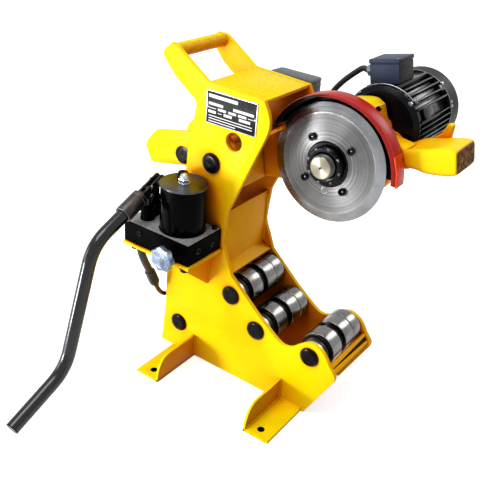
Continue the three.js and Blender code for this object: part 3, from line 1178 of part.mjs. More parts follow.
function addMotor() {
  const place = [MOTOR_AXIS[0], 0, MOTOR_AXIS[1]];
  const shaftHole = ROTOR_SHAFT_DIAMETER / 2 + FIT;
  const shield = turned([
    [shaftHole, SHIELD_NEAR], [MOTOR_RADIUS * SHIELD_FACE_SHARE, SHIELD_NEAR],
    [MOTOR_RADIUS, FRAME_NEAR - END_SHIELD_CHAMFER],
    [MOTOR_RADIUS, FRAME_NEAR - FIT], [shaftHole, FRAME_NEAR - FIT], [shaftHole, SHIELD_NEAR],
  ], FINE_STEPS);
  piece(arm, "motor_end_shield", shield, BLACK, place);

  const shape = withHole(polygon(finnedOutline()), 0, 0, MOTOR_BORE / 2, FINE_STEPS);
  piece(arm, "motor_frame", extruded(shape, FRAME_NEAR, FRAME_FAR), BLACK, place);

  const start = FRAME_FAR + FIT;
  const inner = MOTOR_RADIUS - COWL_WALL;
  const vent = FAN_DIAMETER * COWL_VENT_SHARE;
  const cowl = turned([
    [shaftHole, start], [MOTOR_RADIUS, start], [MOTOR_RADIUS, COWL_FAR - MOTOR_FIN_DEPTH],
    [MOTOR_RADIUS * COWL_FACE_SHARE, COWL_FAR], [vent, COWL_FAR], [vent, COWL_FAR - COWL_WALL],
    [inner - MOTOR_FIN_DEPTH, COWL_FAR - COWL_WALL], [inner, COWL_FAR - MOTOR_FIN_DEPTH],
    [inner, start + COWL_WALL], [shaftHole, start + COWL_WALL], [shaftHole, start],
  ], FINE_STEPS);
  piece(arm, "fan_cowl", cowl, BLACK, place);

  const shaft = ROTOR_SHAFT_DIAMETER / 2;
  const core = ROTOR_DIAMETER / 2;
  const coreStart = FRAME_NEAR + (MOTOR_FRAME_LENGTH - ROTOR_LENGTH) / 2;
  const fanStart = start + COWL_WALL + GEAR_WIDTH / 2;
  const fan = FAN_DIAMETER / 2;
  const fanEnd = fanStart + FAN_WIDTH;
  const toIdler = Math.atan2(IDLER_AXIS[1] - MOTOR_AXIS[1], IDLER_AXIS[0] - MOTOR_AXIS[0]);
  const rotor = join(
    turned([
      [0, FIRST_GEAR_Y[0]], [shaft, FIRST_GEAR_Y[0]], [shaft, coreStart], [core, coreStart],
      [core, coreStart + ROTOR_LENGTH], [shaft, coreStart + ROTOR_LENGTH], [shaft, fanStart],
      [fan, fanStart], [fan, fanEnd], [0, fanEnd],
    ], ROUND_STEPS),
    gear(FIRST_MODULE, FIRST_PINION_TEETH, toIdler, [FIRST_GEAR_Y[0], FIRST_GEAR_Y[1]]),
  );
  piece(arm, "motor_rotor", rotor, DARK_STEEL, place);
}

// Junction box on the motor's pad, with the cable gland on its rear side
const BOX_NEAR = FRAME_NEAR + BOX_SETBACK;
const BOX_BASE = PAD_HEIGHT + FIT;
const GLAND_Y = BOX_NEAR + BOX_DEPTH / 2;
const GLAND_UP = BOX_BASE + BOX_HEIGHT * GLAND_HEIGHT_SHARE;

function addJunctionBox() {
  const half = BOX_WIDTH / 2;
  const box = block([-half, half], [BOX_NEAR, BOX_NEAR + BOX_DEPTH], [BOX_BASE, BOX_BASE + BOX_HEIGHT]);
  const gland = alongX(rod(GLAND_DIAMETER / 2, -half - GLAND_LENGTH, -half + FIT, SMALL_STEPS));
  gland.translate(0, GLAND_Y, GLAND_UP);
  piece(arm, "junction_box", join(box, gland), SLATE, [MOTOR_AXIS[0], 0, MOTOR_AXIS[1]]);
}

// Switch box on the far side plate of the head, with a rocker on its outer face
const [SWITCH_REAR, SWITCH_TOP] = framePlace(SWITCH_SHARES);
const SWITCH_FACE = OUTER + FIT + SWITCH_DEPTH;
const SWITCH_CENTRE = [SWITCH_REAR + SWITCH_LENGTH / 2, SWITCH_TOP - SWITCH_HEIGHT / 2];

function addSwitch() {
  const shape = new THREE.Shape();
  const [x, y] = [SWITCH_LENGTH, SWITCH_DEPTH];
  shape.moveTo(0, 0);
  shape.lineTo(x, 0);
  shape.lineTo(x, y - SWITCH_CORNER);
  shape.quadraticCurveTo(x, y, x - SWITCH_CORNER, y);
  shape.lineTo(SWITCH_CORNER, y);
  shape.quadraticCurveTo(0, y, 0, y - SWITCH_CORNER);
  const body = new THREE.ExtrudeGeometry(shape, {
    depth: SWITCH_HEIGHT,
    bevelEnabled: false,
    curveSegments: CURVE_STEPS,
  });
  body.translate(SWITCH_REAR, OUTER + FIT, SWITCH_TOP - SWITCH_HEIGHT);
  const half = [ROCKER_LENGTH / 2 + RUNNING, ROCKER_WIDTH / 2 + RUNNING];
  const [cx, cz] = SWITCH_CENTRE;
  const pocketFloor = SWITCH_FACE - 2 * ROCKER_DEPTH;
  const pocket = block([cx - half[1], cx + half[1]], [pocketFloor, SWITCH_FACE + OVERRUN],
    [cz - half[0], cz + half[0]]);
  piece(root, "switch_box", cut(body, pocket), BLACK);

  const reach = ROCKER_LENGTH / 2;
  const side = polygon(ROCKER_SHARES.map(([y, z]) => [y * ROCKER_DEPTH, z * reach]));
  const rocker = new THREE.ExtrudeGeometry(side, { depth: ROCKER_WIDTH, bevelEnabled: false });
  rocker.applyMatrix4(new THREE.Matrix4().makeBasis(
    new THREE.Vector3(0, 1, 0), new THREE.Vector3(0, 0, 1), new THREE.Vector3(1, 0, 0)));
  rocker.translate(-ROCKER_WIDTH / 2, 0, 0);
  const mesh = piece(root, "switch_rocker", rocker, RED, [cx, SWITCH_FACE, cz]);
  mesh.rotation.x = degrees(ROCKER_TILT_DEGREES);
}

// The motor cable leaves the gland, hangs in a slack loop and enters the switch box from below
function addMotorCable() {
  const [gx, gz] = armToWorld(MOTOR_AXIS[0] - BOX_WIDTH / 2 - GLAND_LENGTH - FIT, MOTOR_AXIS[1] + GLAND_UP);
  const back = new THREE.Vector3(-Math.cos(ARM_TILT), 0, -Math.sin(ARM_TILT));
  const from = new THREE.Vector3(gx, GLAND_Y, gz);
  const boxX = SWITCH_REAR + SWITCH_LENGTH * CABLE_ENTRY_SHARES[0];
  const boxY = OUTER + SWITCH_DEPTH * CABLE_ENTRY_SHARES[1];
  const bottom = SWITCH_TOP - SWITCH_HEIGHT - FIT;
  const along = ([x, z], y) => new THREE.Vector3(boxX + x * CABLE_SLACK, y, SWITCH_TOP - z * CABLE_SLACK);
  const to = new THREE.Vector3(boxX, boxY, bottom);
  const curve = new THREE.CatmullRomCurve3([
    from,
    from.clone().addScaledVector(back, CABLE_SLACK * CABLE_FIRST_SHARE),
    along(CABLE_DROP_SHARES, (GLAND_Y + boxY) / 2),
    along(CABLE_LOW_SHARES, boxY),
    new THREE.Vector3(boxX, boxY, bottom - CABLE_SLACK * CABLE_ENTER_SHARE),
    to,
  ]);
  piece(root, "motor_cable", sweep(curve, CABLE_DIAMETER, CABLE_SIDES, CABLE_STEPS), RUBBER);
}

addSidePlates();
addCrossPlates();
addFeet();
addNameplate();
addPins();
addRollers();
addBracket();
addPumpBlock();
addTank();
addPumpBarrel();
addPiston();
addLever();
addKnob();
addCylinder();
addHose();
addSwingArm();
addGearCase();
addCaseCover();
addGears();
addCutter();
addGuard();
addMotor();
addJunctionBox();
addSwitch();
addMotorCable();

export default root;
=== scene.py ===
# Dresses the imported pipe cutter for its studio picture. Sizes are in millimetres and are turned
# into Blender's metres when a piece is finished. +X is the open front, +Y the far side, +Z up.
import json
import math
import random

import bmesh
import bpy
from mathutils import Matrix, Vector


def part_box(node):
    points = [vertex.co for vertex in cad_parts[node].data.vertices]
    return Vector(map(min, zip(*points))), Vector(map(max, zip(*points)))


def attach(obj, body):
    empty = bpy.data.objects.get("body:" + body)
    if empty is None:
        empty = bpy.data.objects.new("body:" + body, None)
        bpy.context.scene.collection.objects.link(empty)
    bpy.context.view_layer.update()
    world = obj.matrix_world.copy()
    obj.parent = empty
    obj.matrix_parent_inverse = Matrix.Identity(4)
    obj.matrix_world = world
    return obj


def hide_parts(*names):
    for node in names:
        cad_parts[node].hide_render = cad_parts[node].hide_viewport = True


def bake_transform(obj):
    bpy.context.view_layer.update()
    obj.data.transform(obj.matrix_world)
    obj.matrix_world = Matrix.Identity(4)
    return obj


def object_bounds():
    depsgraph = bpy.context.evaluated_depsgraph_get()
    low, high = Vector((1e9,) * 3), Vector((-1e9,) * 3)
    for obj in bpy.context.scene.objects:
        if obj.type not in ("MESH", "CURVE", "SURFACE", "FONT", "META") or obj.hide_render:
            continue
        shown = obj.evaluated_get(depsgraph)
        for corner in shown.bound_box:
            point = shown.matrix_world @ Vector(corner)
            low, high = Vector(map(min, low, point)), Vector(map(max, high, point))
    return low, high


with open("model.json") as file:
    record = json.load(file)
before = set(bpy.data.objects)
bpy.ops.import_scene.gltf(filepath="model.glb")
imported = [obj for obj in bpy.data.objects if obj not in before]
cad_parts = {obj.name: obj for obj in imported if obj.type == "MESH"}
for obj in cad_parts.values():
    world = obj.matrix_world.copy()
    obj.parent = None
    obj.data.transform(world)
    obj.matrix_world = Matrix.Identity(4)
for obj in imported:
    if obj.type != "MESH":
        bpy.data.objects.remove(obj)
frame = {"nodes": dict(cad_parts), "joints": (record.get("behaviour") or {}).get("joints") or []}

cad_low, cad_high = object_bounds()

MM = 0.001
FIT = 0.3
TINY = 1e-6

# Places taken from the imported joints, in millimetres
JOINTS = {joint["name"]: joint for joint in frame["joints"]}
ARM_TILT = math.radians(12.5)


def joint_place(name):
    return Vector(JOINTS[name]["pos_m"]) / MM


def node_box(node):
    """Lowest and highest corner of a CAD node in millimetres."""
    low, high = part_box(node)
    return low / MM, high / MM


PIVOT = joint_place("arm_swing")
WHEEL = joint_place("wheel_spin")
MOTOR = joint_place("rotor_spin")
CYLINDER = joint_place("cylinder_tilt")
LEVER = joint_place("lever_pump")
KNOB = joint_place("release_valve_turn")
ROCKER = joint_place("rocker_tilt")
ROWS = {row: joint_place(f"{row}_near_roll") for row in ("rear", "middle", "front")}

move = Matrix.Translation
TILTED = Matrix.Rotation(-ARM_TILT, 4, "Y")
ARM = move(PIVOT) @ TILTED
CUTTER = move(WHEEL) @ TILTED
MOTOR_PLACE = move(MOTOR) @ TILTED

# Turns for a shape that is made along Y: to lie along X, stand along Z, face the near side or the back
ALONG_X = Matrix.Rotation(-math.pi / 2, 4, "Z")
ALONG_Z = Matrix.Rotation(math.pi / 2, 4, "X")
FACING_NEAR = Matrix.Rotation(math.pi, 4, "Z")
FACING_BACK = ALONG_X @ Matrix.Rotation(math.pi, 4, "X")

# Turns a plate made in X and Z into one that lies in X and Y with its thickness up
LAID_FLAT = Matrix(((1, 0, 0, 0), (0, 0, 1, 0), (0, 1, 0, 0), (0, 0, 0, 1)))


def upright(x=0.0):
    """Turns a plate made in X and Z into one in Y and Z, with its thickness along X from x on."""
    return Matrix(((0, 1, 0, x), (1, 0, 0, 0), (0, 0, 1, 0), (0, 0, 0, 1)))


def around(degrees):
    """A turn about an axis along Y."""
    return Matrix.Rotation(math.radians(degrees), 4, "Y")


# The camera found from the photograph
CAMERA_AZIMUTH = math.radians(32.64)
CAMERA_ELEVATION = math.radians(29.42)
CAMERA_ROLL = math.radians(-5.285)
CAMERA_PLACE = Vector((608.3, -983.5, 893.7))
CAMERA_LENS = 52.09
SENSOR_WIDTH = 36


def add_camera():
    back = Vector((
        math.sin(CAMERA_AZIMUTH) * math.cos(CAMERA_ELEVATION),
        -math.cos(CAMERA_AZIMUTH) * math.cos(CAMERA_ELEVATION),
        math.sin(CAMERA_ELEVATION),
    ))
    level = (-back).cross(Vector((0, 0, 1))).normalized()
    down = (-back).cross(level)
    right = level * math.cos(CAMERA_ROLL) + down * math.sin(CAMERA_ROLL)
    up = level * math.sin(CAMERA_ROLL) - down * math.cos(CAMERA_ROLL)
    data = bpy.data.cameras.new("camera")
    data.lens = CAMERA_LENS
    data.sensor_width = SENSOR_WIDTH
    camera = bpy.data.objects.new("camera", data)
    bpy.context.scene.collection.objects.link(camera)
    turn = Matrix((right, up, back)).transposed().to_4x4()
    camera.matrix_world = move(CAMERA_PLACE * MM) @ turn
    bpy.context.scene.camera = camera


# Soft boxes: the place in metres, the side and the power
LAMPS = {
    "left_box": ((-2.2, -1.75, 0.8), 0.8, 15),
    "low_box": ((-0.9, -1.35, 0.17), 0.32, 19),
    "top_box": ((-0.35, -0.9, 2.6), 1.3, 43),
    "back_box": ((0.9, 2.3, 1.9), 1.0, 22),
}
LAMP_AIM = Vector((0, 0, 0.35))
SKY_COLOR = (0.94, 0.97, 1, 1)
SKY_STRENGTH = 0.34
WHITE = (1, 1, 1, 1)


def add_lamp(name, place, size, power):
    """A square soft box that faces the middle of the machine."""
    data = bpy.data.lights.new(name, "AREA")
    data.size = size
    data.energy = power
    lamp = bpy.data.objects.new(name, data)
    bpy.context.scene.collection.objects.link(lamp)
    aim = LAMP_AIM - Vector(place)
    lamp.matrix_world = move(place) @ aim.to_track_quat("-Z", "Y").to_matrix().to_4x4()


def seen_directly(tree):
    """1 for rays from the camera and for mirror and glass rays, otherwise 0."""
    path = tree.nodes.new("ShaderNodeLightPath")
    either = path.outputs["Is Camera Ray"]
    for kind in ("Is Glossy Ray", "Is Transmission Ray"):
        larger = tree.nodes.new("ShaderNodeMath")
        larger.operation = "MAXIMUM"
        tree.links.new(either, larger.inputs[0])
        tree.links.new(path.outputs[kind], larger.inputs[1])
        either = larger.outputs[0]
    return either


def background(tree, color, strength):
    made = tree.nodes.new("ShaderNodeBackground")
    made.inputs["Color"].default_value = color
    made.inputs["Strength"].default_value = strength
    return made.outputs[0]


def add_world():
    """A dim sky that lights the machine, and plain white where the sky is seen directly."""
    world = bpy.data.worlds.new("studio")
    bpy.context.scene.world = world
    world.use_nodes = True
    tree = world.node_tree
    tree.nodes.clear()
    mix = tree.nodes.new("ShaderNodeMixShader")
    tree.links.new(seen_directly(tree), mix.inputs[0])
    tree.links.new(background(tree, SKY_COLOR, SKY_STRENGTH), mix.inputs[1])
    tree.links.new(background(tree, WHITE, 1), mix.inputs[2])
    out = tree.nodes.new("ShaderNodeOutputWorld")
    tree.links.new(mix.outputs[0], out.inputs["Surface"])


# The floor in metres, and the glow that it has by its distance from the machine
FLOOR_HALF = 30
FLOOR_DROP = 0.0004
FLOOR_COLOR = (0.86, 0.86, 0.86, 1)
FLOOR_GLOW = {"From Min": 0.8, "From Max": 3, "To Min": 0.66, "To Max": 0.86}


def add_floor():
    """A pale floor that looks white to the camera where no shadow falls."""
    material = bpy.data.materials.new("floor")
    material.use_nodes = True
    tree = material.node_tree
    shader = tree.nodes["Principled BSDF"]
    shader.inputs["Base Color"].default_value = FLOOR_COLOR
    shader.inputs["Roughness"].default_value = 1
    shader.inputs["Specular IOR Level"].default_value = 0
    shader.inputs["Emission Color"].default_value = WHITE
    distance = tree.nodes.new("ShaderNodeVectorMath")
    distance.operation = "LENGTH"
    tree.links.new(tree.nodes.new("ShaderNodeTexCoord").outputs["Object"], distance.inputs[0])
    glow = tree.nodes.new("ShaderNodeMapRange")
    tree.links.new(distance.outputs["Value"], glow.inputs["Value"])
    for name, value in FLOOR_GLOW.items():
        glow.inputs[name].default_value = value
    strength = tree.nodes.new("ShaderNodeMath")
    strength.operation = "MULTIPLY"
    tree.links.new(seen_directly(tree), strength.inputs[0])
    tree.links.new(glow.outputs[0], strength.inputs[1])
    tree.links.new(strength.outputs[0], shader.inputs["Emission Strength"])
    mesh = bpy.data.meshes.new("floor")
    level = cad_low.z - FLOOR_DROP
    mesh.from_pydata(rectangle(FLOOR_HALF, FLOOR_HALF, level), [], [(0, 1, 2, 3)])
    mesh.materials.append(material)
    floor = bpy.data.objects.new("floor", mesh)
    bpy.context.scene.collection.objects.link(floor)


SOCKETS = {
    "specular": "Specular IOR Level",
    "anisotropic": "Anisotropic",
    "rotation": "Anisotropic Rotation",
}


class Look:
    """A node material on one Principled shader, with its patterns in object coordinates."""

    def __init__(self, name, color, roughness, metallic=0.0, **settings):
        self.material = bpy.data.materials.new(name)
        self.material.use_nodes = True
        self.tree = self.material.node_tree
        self.shader = self.tree.nodes["Principled BSDF"]
        self.set("Base Color", (*color, 1))
        self.set("Roughness", roughness)
        self.set("Metallic", metallic)
        for setting, value in settings.items():
            self.set(SOCKETS[setting], value)
        self.coordinates = self.tree.nodes.new("ShaderNodeTexCoord")
        self.where = self.coordinates.outputs["Object"]

    def set(self, socket, value):
        self.shader.inputs[socket].default_value = value

    def link(self, output, socket):
        self.tree.links.new(output, self.shader.inputs[socket])

    def feed(self, socket, value):
        """Links an output to the socket, or gives the socket a plain value."""
        if isinstance(value, bpy.types.NodeSocket):
            self.tree.links.new(value, socket)
        else:
            socket.default_value = value

    def node(self, kind, **inputs):
        made = self.tree.nodes.new(kind)
        for name, value in inputs.items():
            self.feed(made.inputs[name.replace("_", " ")], value)
        return made

    def math(self, operation, *values, kind="ShaderNodeMath"):
        made = self.tree.nodes.new(kind)
        made.operation = operation
        for socket, value in zip(made.inputs, values):
            self.feed(socket, value)
        return made.outputs["Value" if operation == "LENGTH" else 0]

    def noise(self, scale, detail=3.0, stretch=(1, 1, 1), rough=0.55):
        placed = self.node("ShaderNodeMapping", Vector=self.where, Scale=stretch)
        return self.node(
            "ShaderNodeTexNoise", Vector=placed.outputs[0], Scale=scale, Detail=detail, Roughness=rough,
        ).outputs["Fac"]

    def spread(self, factor, low, high, first, last):
        """Moves factor from the range low to high into the range first to last."""
        return self.node(
            "ShaderNodeMapRange", Value=factor, From_Min=low, From_Max=high, To_Min=first, To_Max=last,
        ).outputs[0]

    def colors(self, factor, *stops):
        """A ramp of (position, colour) stops."""
        ramp = self.node("ShaderNodeValToRGB", Fac=factor)
        points = ramp.color_ramp.elements
        while len(points) < len(stops):
            points.new(0.5)
        for point, (position, color) in zip(points, stops):
            point.position = position
            point.color = (*color, 1)
        return ramp.outputs["Color"]

    def blend(self, factor, first, second):
        mix = self.tree.nodes.new("ShaderNodeMix")
        mix.data_type = "RGBA"
        sockets = [s for s in mix.inputs if s.name in ("A", "B") and s.type == "RGBA"]
        for socket, value in zip([mix.inputs[0], *sockets], (factor, first, second)):
            self.feed(socket, (*value, 1) if isinstance(value, tuple) else value)
        return [s for s in mix.outputs if s.type == "RGBA"][0]

    def bump(self, height, strength, distance):
        """Distance is in metres."""
        made = self.node("ShaderNodeBump", Height=height, Strength=strength, Distance=distance)
        self.link(made.outputs[0], "Normal")

    def facing(self, axis, low, high, share):
        """Rises from 0 to share as a face turns toward an axis, between two parts of its normal."""
        parts = self.node("ShaderNodeSeparateXYZ", Vector=self.coordinates.outputs["Normal"])
        return self.spread(parts.outputs[axis], low, high, 0.0, share)

    def rings(self, place, scale, detail):
        """Noise that only changes with the distance from a line along Y through a place."""
        offset = self.math("SUBTRACT", self.where, place * MM, kind="ShaderNodeVectorMath")
        flat = self.math("MULTIPLY", offset, (1, 0, 1), kind="ShaderNodeVectorMath")
        made = self.tree.nodes.new("ShaderNodeTexNoise")
        made.noise_dimensions = "1D"
        self.feed(made.inputs["W"], self.math("LENGTH", flat, kind="ShaderNodeVectorMath"))
        self.feed(made.inputs["Scale"], scale)
        self.feed(made.inputs["Detail"], detail)
        return made.outputs["Fac"]

    def tangent_round(self, axis="Y"):
        tangent = self.tree.nodes.new("ShaderNodeTangent")
        tangent.direction_type = "RADIAL"
        tangent.axis = axis
        self.link(tangent.outputs[0], "Tangent")


def scaled(factor, color):
    return tuple(factor * c for c in color)


# How far the painted corner shade looks for other faces, the height above the floor over which that shade is
# lifted, and the heights over which faces toward +X near the floor get more painted shade, in metres
PAINTED_SHADE_REACH = 0.16
PAINTED_SHADE_FLOOR_LIFT = 0.1
PAINTED_LEG_SHADE_HEIGHTS = (0.045, 0.065)


def painted_shade_coat(look, cloud, color, shade, hollow):
    """Painted shade: the colour turns darker and more orange in corners, on faces toward +X and, most of all,
    underneath.
    """
    inside = look.node("ShaderNodeAmbientOcclusion", Distance=PAINTED_SHADE_REACH)
    inside.samples = 16
    open_share = look.math("ADD", inside.outputs["AO"], look.spread(cloud, 0.3, 0.7, -0.06, 0.06))
    height = look.node("ShaderNodeSeparateXYZ", Vector=look.where).outputs["Z"]
    # The painted shade is lifted near the floor, so that low faces keep their plain colour
    open_share = look.math("ADD", open_share, look.spread(height, 0.0, PAINTED_SHADE_FLOOR_LIFT, 0.4, 0.0))
    stops = ((0.13, scaled(0.22, hollow)), (0.44, hollow), (0.7, shade), (0.9, color))
    tinted = look.colors(open_share, *stops)
    painted_side_shade = tuple((2 * a + b) / 3 for a, b in zip(hollow, shade))
    tinted = look.blend(look.facing("X", 0.35, 0.85, 0.8), tinted, painted_side_shade)
    # Faces toward +X near the floor, such as the feet's legs, get darker painted shade still
    near_floor = look.spread(height, *PAINTED_LEG_SHADE_HEIGHTS, 0.6, 0.0)
    painted_leg_shade = look.math("MULTIPLY", near_floor, look.facing("X", 0.6, 0.9, 1.0))
    tinted = look.blend(painted_leg_shade, tinted, scaled(0.4, hollow))
    return look.blend(look.facing("Z", -0.15, -0.8, 0.85), tinted, hollow)


def enamel(name, color, shade, rough=(0.28, 0.42), peel=0.12, hollow=None, **settings):
    """Brushed or sprayed enamel: cloudy colour, orange peel and worn, darker edges. With a hollow colour it
    also gets painted shade in corners, on faces toward +X and underneath.
    """
    look = Look(name, color, rough[0], **settings)
    cloud = look.noise(7, 3)
    edge = look.node("ShaderNodeNewGeometry").outputs["Pointiness"]
    grain = look.spread(look.noise(160, 4), 0.42, 0.62, 0, 1)
    worn = look.math("MULTIPLY", look.spread(edge, 0.53, 0.62, 0, 1), grain)
    if hollow:
        tinted = painted_shade_coat(look, cloud, color, shade, hollow)
    else:
        tinted = look.blend(look.spread(cloud, 0.35, 0.75, 0.0, 0.5), color, shade)
    wear = look.blend(look.math("MULTIPLY", worn, 0.55), tinted, scaled(0.45, shade))
    look.link(wear, "Base Color")
    look.link(look.spread(look.noise(24, 4), 0.3, 0.7, *rough), "Roughness")
    look.bump(look.noise(260, 2), peel, 0.0003)
    return look


def turned_steel(name, color, dark, rough, axis="Y", **settings):
    """Steel with lathe marks round an axis: fine bands along it and a soft blotchy stain."""
    look = Look(name, color, rough[0], 1.0, **settings)
    stretch = {"X": (1, 0.02, 0.02), "Y": (0.02, 1, 0.02), "Z": (0.02, 0.02, 1)}[axis]
    bands = look.noise(900, 4, stretch)
    wide = look.spread(look.noise(160, 3, stretch), 0.3, 0.7, 0.5, 1)
    mixed = look.math("MULTIPLY", look.spread(look.noise(38, 5), 0.4, 0.72, 0, 1), wide)
    look.link(look.blend(mixed, color, dark), "Base Color")
    look.link(look.spread(bands, 0.3, 0.7, *rough), "Roughness")
    look.bump(bands, 0.05, 0.00005)
    if settings:
        look.tangent_round(axis)
    return look


def plain_metal(name, color, dark, rough, metallic=1.0, **settings):
    """Metal with dark blotches and a fine grain."""
    look = Look(name, color, rough[0], metallic, **settings)
    fine = look.noise(220, 4)
    look.link(look.blend(look.spread(look.noise(45, 5), 0.38, 0.7, 0, 1), color, dark), "Base Color")
    look.link(look.spread(fine, 0.3, 0.7, *rough), "Roughness")
    look.bump(fine, 0.18, 0.0003)
    return look


def grey(value):
    return value, value, value


def wheel_face_steel():
    """Ground steel: anisotropic round the wheel's axis, with concentric scratches and faint stains."""
    look = Look("wheel_face_steel", grey(0.2), 0.3, 1.0, anisotropic=0.95, rotation=0.25)
    look.tangent_round()
    fine = look.math("MULTIPLY", look.rings(WHEEL, 1400, 3), 0.6)
    coarse = look.math("MULTIPLY", look.rings(WHEEL, 300, 2), 0.4)
    both = look.math("ADD", fine, coarse)
    steel = look.colors(both, (0.36, grey(0.11)), (0.5, grey(0.15)), (0.64, grey(0.26)))
    stain = look.spread(look.noise(26, 6), 0.55, 0.75, 0, 0.6)
    look.link(look.blend(stain, steel, (0.10, 0.098, 0.095)), "Base Color")
    look.link(look.spread(both, 0.3, 0.7, 0.36, 0.48), "Roughness")
    look.bump(both, 0.1, 0.00004)
    return look


def cast_iron():
    """The bare, rough end of the cast handle, with paint left in its hollows."""
    look = Look("bare_casting", (0.06, 0.03, 0.012), 0.55, specular=0.05)
    lumps = look.noise(110, 6, rough=0.7)
    flecks = look.noise(230, 5, rough=0.75)
    stops = ((0.38, (0.02, 0.006, 0.002)), (0.5, (0.14, 0.045, 0.007)), (0.64, (0.42, 0.17, 0.015)))
    paint = look.spread(flecks, 0.58, 0.66, 0, 0.9)
    look.link(look.blend(paint, look.colors(lumps, *stops), (0.85, 0.42, 0.05)), "Base Color")
    look.link(look.spread(flecks, 0.3, 0.7, 0.35, 0.75), "Roughness")
    look.bump(lumps, 0.9, 0.002)
    return look


def plastic(name, color, rough, grain=0.12, front=None, **settings):
    """Moulded or painted plastic with a soft grain. The front colour is painted shade for faces toward +X."""
    look = Look(name, color, rough, **settings)
    tinted = look.blend(look.spread(look.noise(30, 3), 0.3, 0.75, 0, 0.5), color, scaled(1.35, color))
    if front:
        tinted = look.blend(look.facing("X", 0.4, 0.8, 1.0), tinted, front)
    look.link(tinted, "Base Color")
    look.link(look.spread(look.noise(190, 4), 0.3, 0.7, rough * 0.85, min(1, rough * 1.2)), "Roughness")
    look.bump(look.noise(850, 3), grain, 0.0003)
    return look


def speckled_rubber(name, color, fleck):
    """Rubber hose skin with a grey bloom and fine speckles."""
    look = Look(name, color, 0.42, specular=0.35)
    bloom = look.noise(60, 4)
    specks = look.noise(700, 3)
    fine = look.spread(specks, 0.55, 0.7, 0, 1)
    factor = look.math("MULTIPLY", fine, look.spread(bloom, 0.35, 0.65, 0.2, 1))
    look.link(look.blend(factor, color, fleck), "Base Color")
    look.link(look.spread(bloom, 0.3, 0.7, 0.32, 0.6), "Roughness")
    look.bump(specks, 0.3, 0.0004)
    return look


YELLOW = (0.97, 0.71, 0.001)
YELLOW_SHADE = (0.95, 0.50, 0.0008)
# The darkest painted shade of the yellow, for corners and undersides
YELLOW_PAINTED_DEEP_SHADE = (0.78, 0.19, 0.0005)

# Name, colour, shade, roughness range, orange peel, specular level and, last, any colour of the painted shade
# in corners and underneath
ENAMELS = {
    "yellow": ("yellow_enamel", YELLOW, YELLOW_SHADE, (0.3, 0.44), 0.1, 0.05, YELLOW_PAINTED_DEEP_SHADE),
    "cast_yellow": ("cast_yellow_enamel", YELLOW, YELLOW_SHADE, (0.28, 0.46), 0.35, 0.08, YELLOW_PAINTED_DEEP_SHADE),
    "weld": ("weld_enamel", (0.95, 0.68, 0.001), (0.85, 0.42, 0.001), (0.3, 0.5), 0.4, 0.06, YELLOW_PAINTED_DEEP_SHADE),
    # Painted shade: the dark sheet in the cross bar's recess
    "brown_dark": ("shaded_enamel", (0.03, 0.008, 0.001), (0.015, 0.004, 0.001), (0.4, 0.55), 0.12, 0.03),
    "red": ("red_enamel", (0.48, 0.008, 0.004), (0.30, 0.006, 0.004), (0.22, 0.36), 0.12, 0.1),
    # Painted shade: the darker copy of the guard's red for its flange
    "red_dark": ("dark_red_enamel", (0.27, 0.006, 0.004), (0.20, 0.005, 0.003), (0.3, 0.44), 0.12, 0.08),
    # Painted highlight for the guard's rim
    "red_edge": ("worn_red_edge", (0.50, 0.06, 0.04), (0.4, 0.04, 0.03), (0.25, 0.4), 0.12, 0.3),
    # Painted light: the brighter copy of the guard's red for its clip
    "red_bright": ("bright_red_enamel", (0.86, 0.06, 0.004), (0.66, 0.03, 0.004), (0.26, 0.4), 0.12, 0.2),
    "black": ("black_enamel", (0.002, 0.002, 0.0025), (0.006, 0.005, 0.005), (0.25, 0.4), 0.12, 0.1),
    "gloss_black": ("gloss_black_enamel", (0.0003, 0.0003, 0.0004), grey(0.0009), (0.08, 0.16), 0.04, 0.025),
    "tube_black": (
        "tube_black_enamel", (0.003, 0.003, 0.004), (0.006, 0.006, 0.008), (0.14, 0.24), 0.05, 0.4),
    "satin_black": ("satin_black_enamel", grey(0.0004), grey(0.0015), (0.4, 0.55), 0.3, 0.012),
    # Painted sheen for the pump block's top
    "block_top": ("worn_block_enamel", (0.33, 0.325, 0.33), (0.06, 0.06, 0.062), (0.4, 0.6), 0.6, 0.4),
    "motor_black": (
        "motor_black_enamel", (0.0015, 0.0015, 0.002), (0.005, 0.004, 0.004), (0.16, 0.28), 0.2, 0.25),
    "motor_satin": (
        "motor_satin_enamel", (0.0015, 0.002, 0.004), (0.004, 0.004, 0.006), (0.2, 0.32), 0.2, 0.1),
    "cowl": ("cowl_enamel", (0.016, 0.013, 0.011), (0.028, 0.023, 0.018), (0.42, 0.58), 0.3, 0.1),
}

# Name, colour, dark colour, roughness range and how metallic it is
METALS = {
    "fork": ("dark_forged_steel", (0.05, 0.047, 0.045), (0.02, 0.017, 0.015), (0.26, 0.45), 0.9),
    "zinc": ("zinc_plate", (0.36, 0.43, 0.56), (0.10, 0.13, 0.19), (0.2, 0.42), 0.9),
    "chrome": ("bright_chrome", (0.62, 0.64, 0.68), (0.42, 0.44, 0.48), (0.05, 0.14), 1),
    "screw": ("bright_screw_steel", grey(0.5), grey(0.22), (0.2, 0.4), 1),
    "pin_grey": ("grey_pin_steel", (0.14, 0.14, 0.145), grey(0.07), (0.4, 0.6), 0.6),
    "slot_grey": ("slot_edge_steel", (0.10, 0.10, 0.105), grey(0.03), (0.3, 0.5), 0.9),
    # Worn edges, and the painted highlight on the motor flange's rim
    "edge_grey": ("worn_edge_steel", (0.4, 0.41, 0.43), (0.14, 0.14, 0.15), (0.25, 0.5), 0.9),
    "gland": ("gland_nickel", (0.26, 0.31, 0.42), (0.08, 0.09, 0.12), (0.25, 0.45), 0.9),
    "copper": ("bronze_fitting", (0.16, 0.075, 0.04), (0.05, 0.03, 0.02), (0.22, 0.4), 1),
    "olive": ("olive_fitting", (0.05, 0.048, 0.036), (0.02, 0.019, 0.016), (0.3, 0.5), 0.9),
}

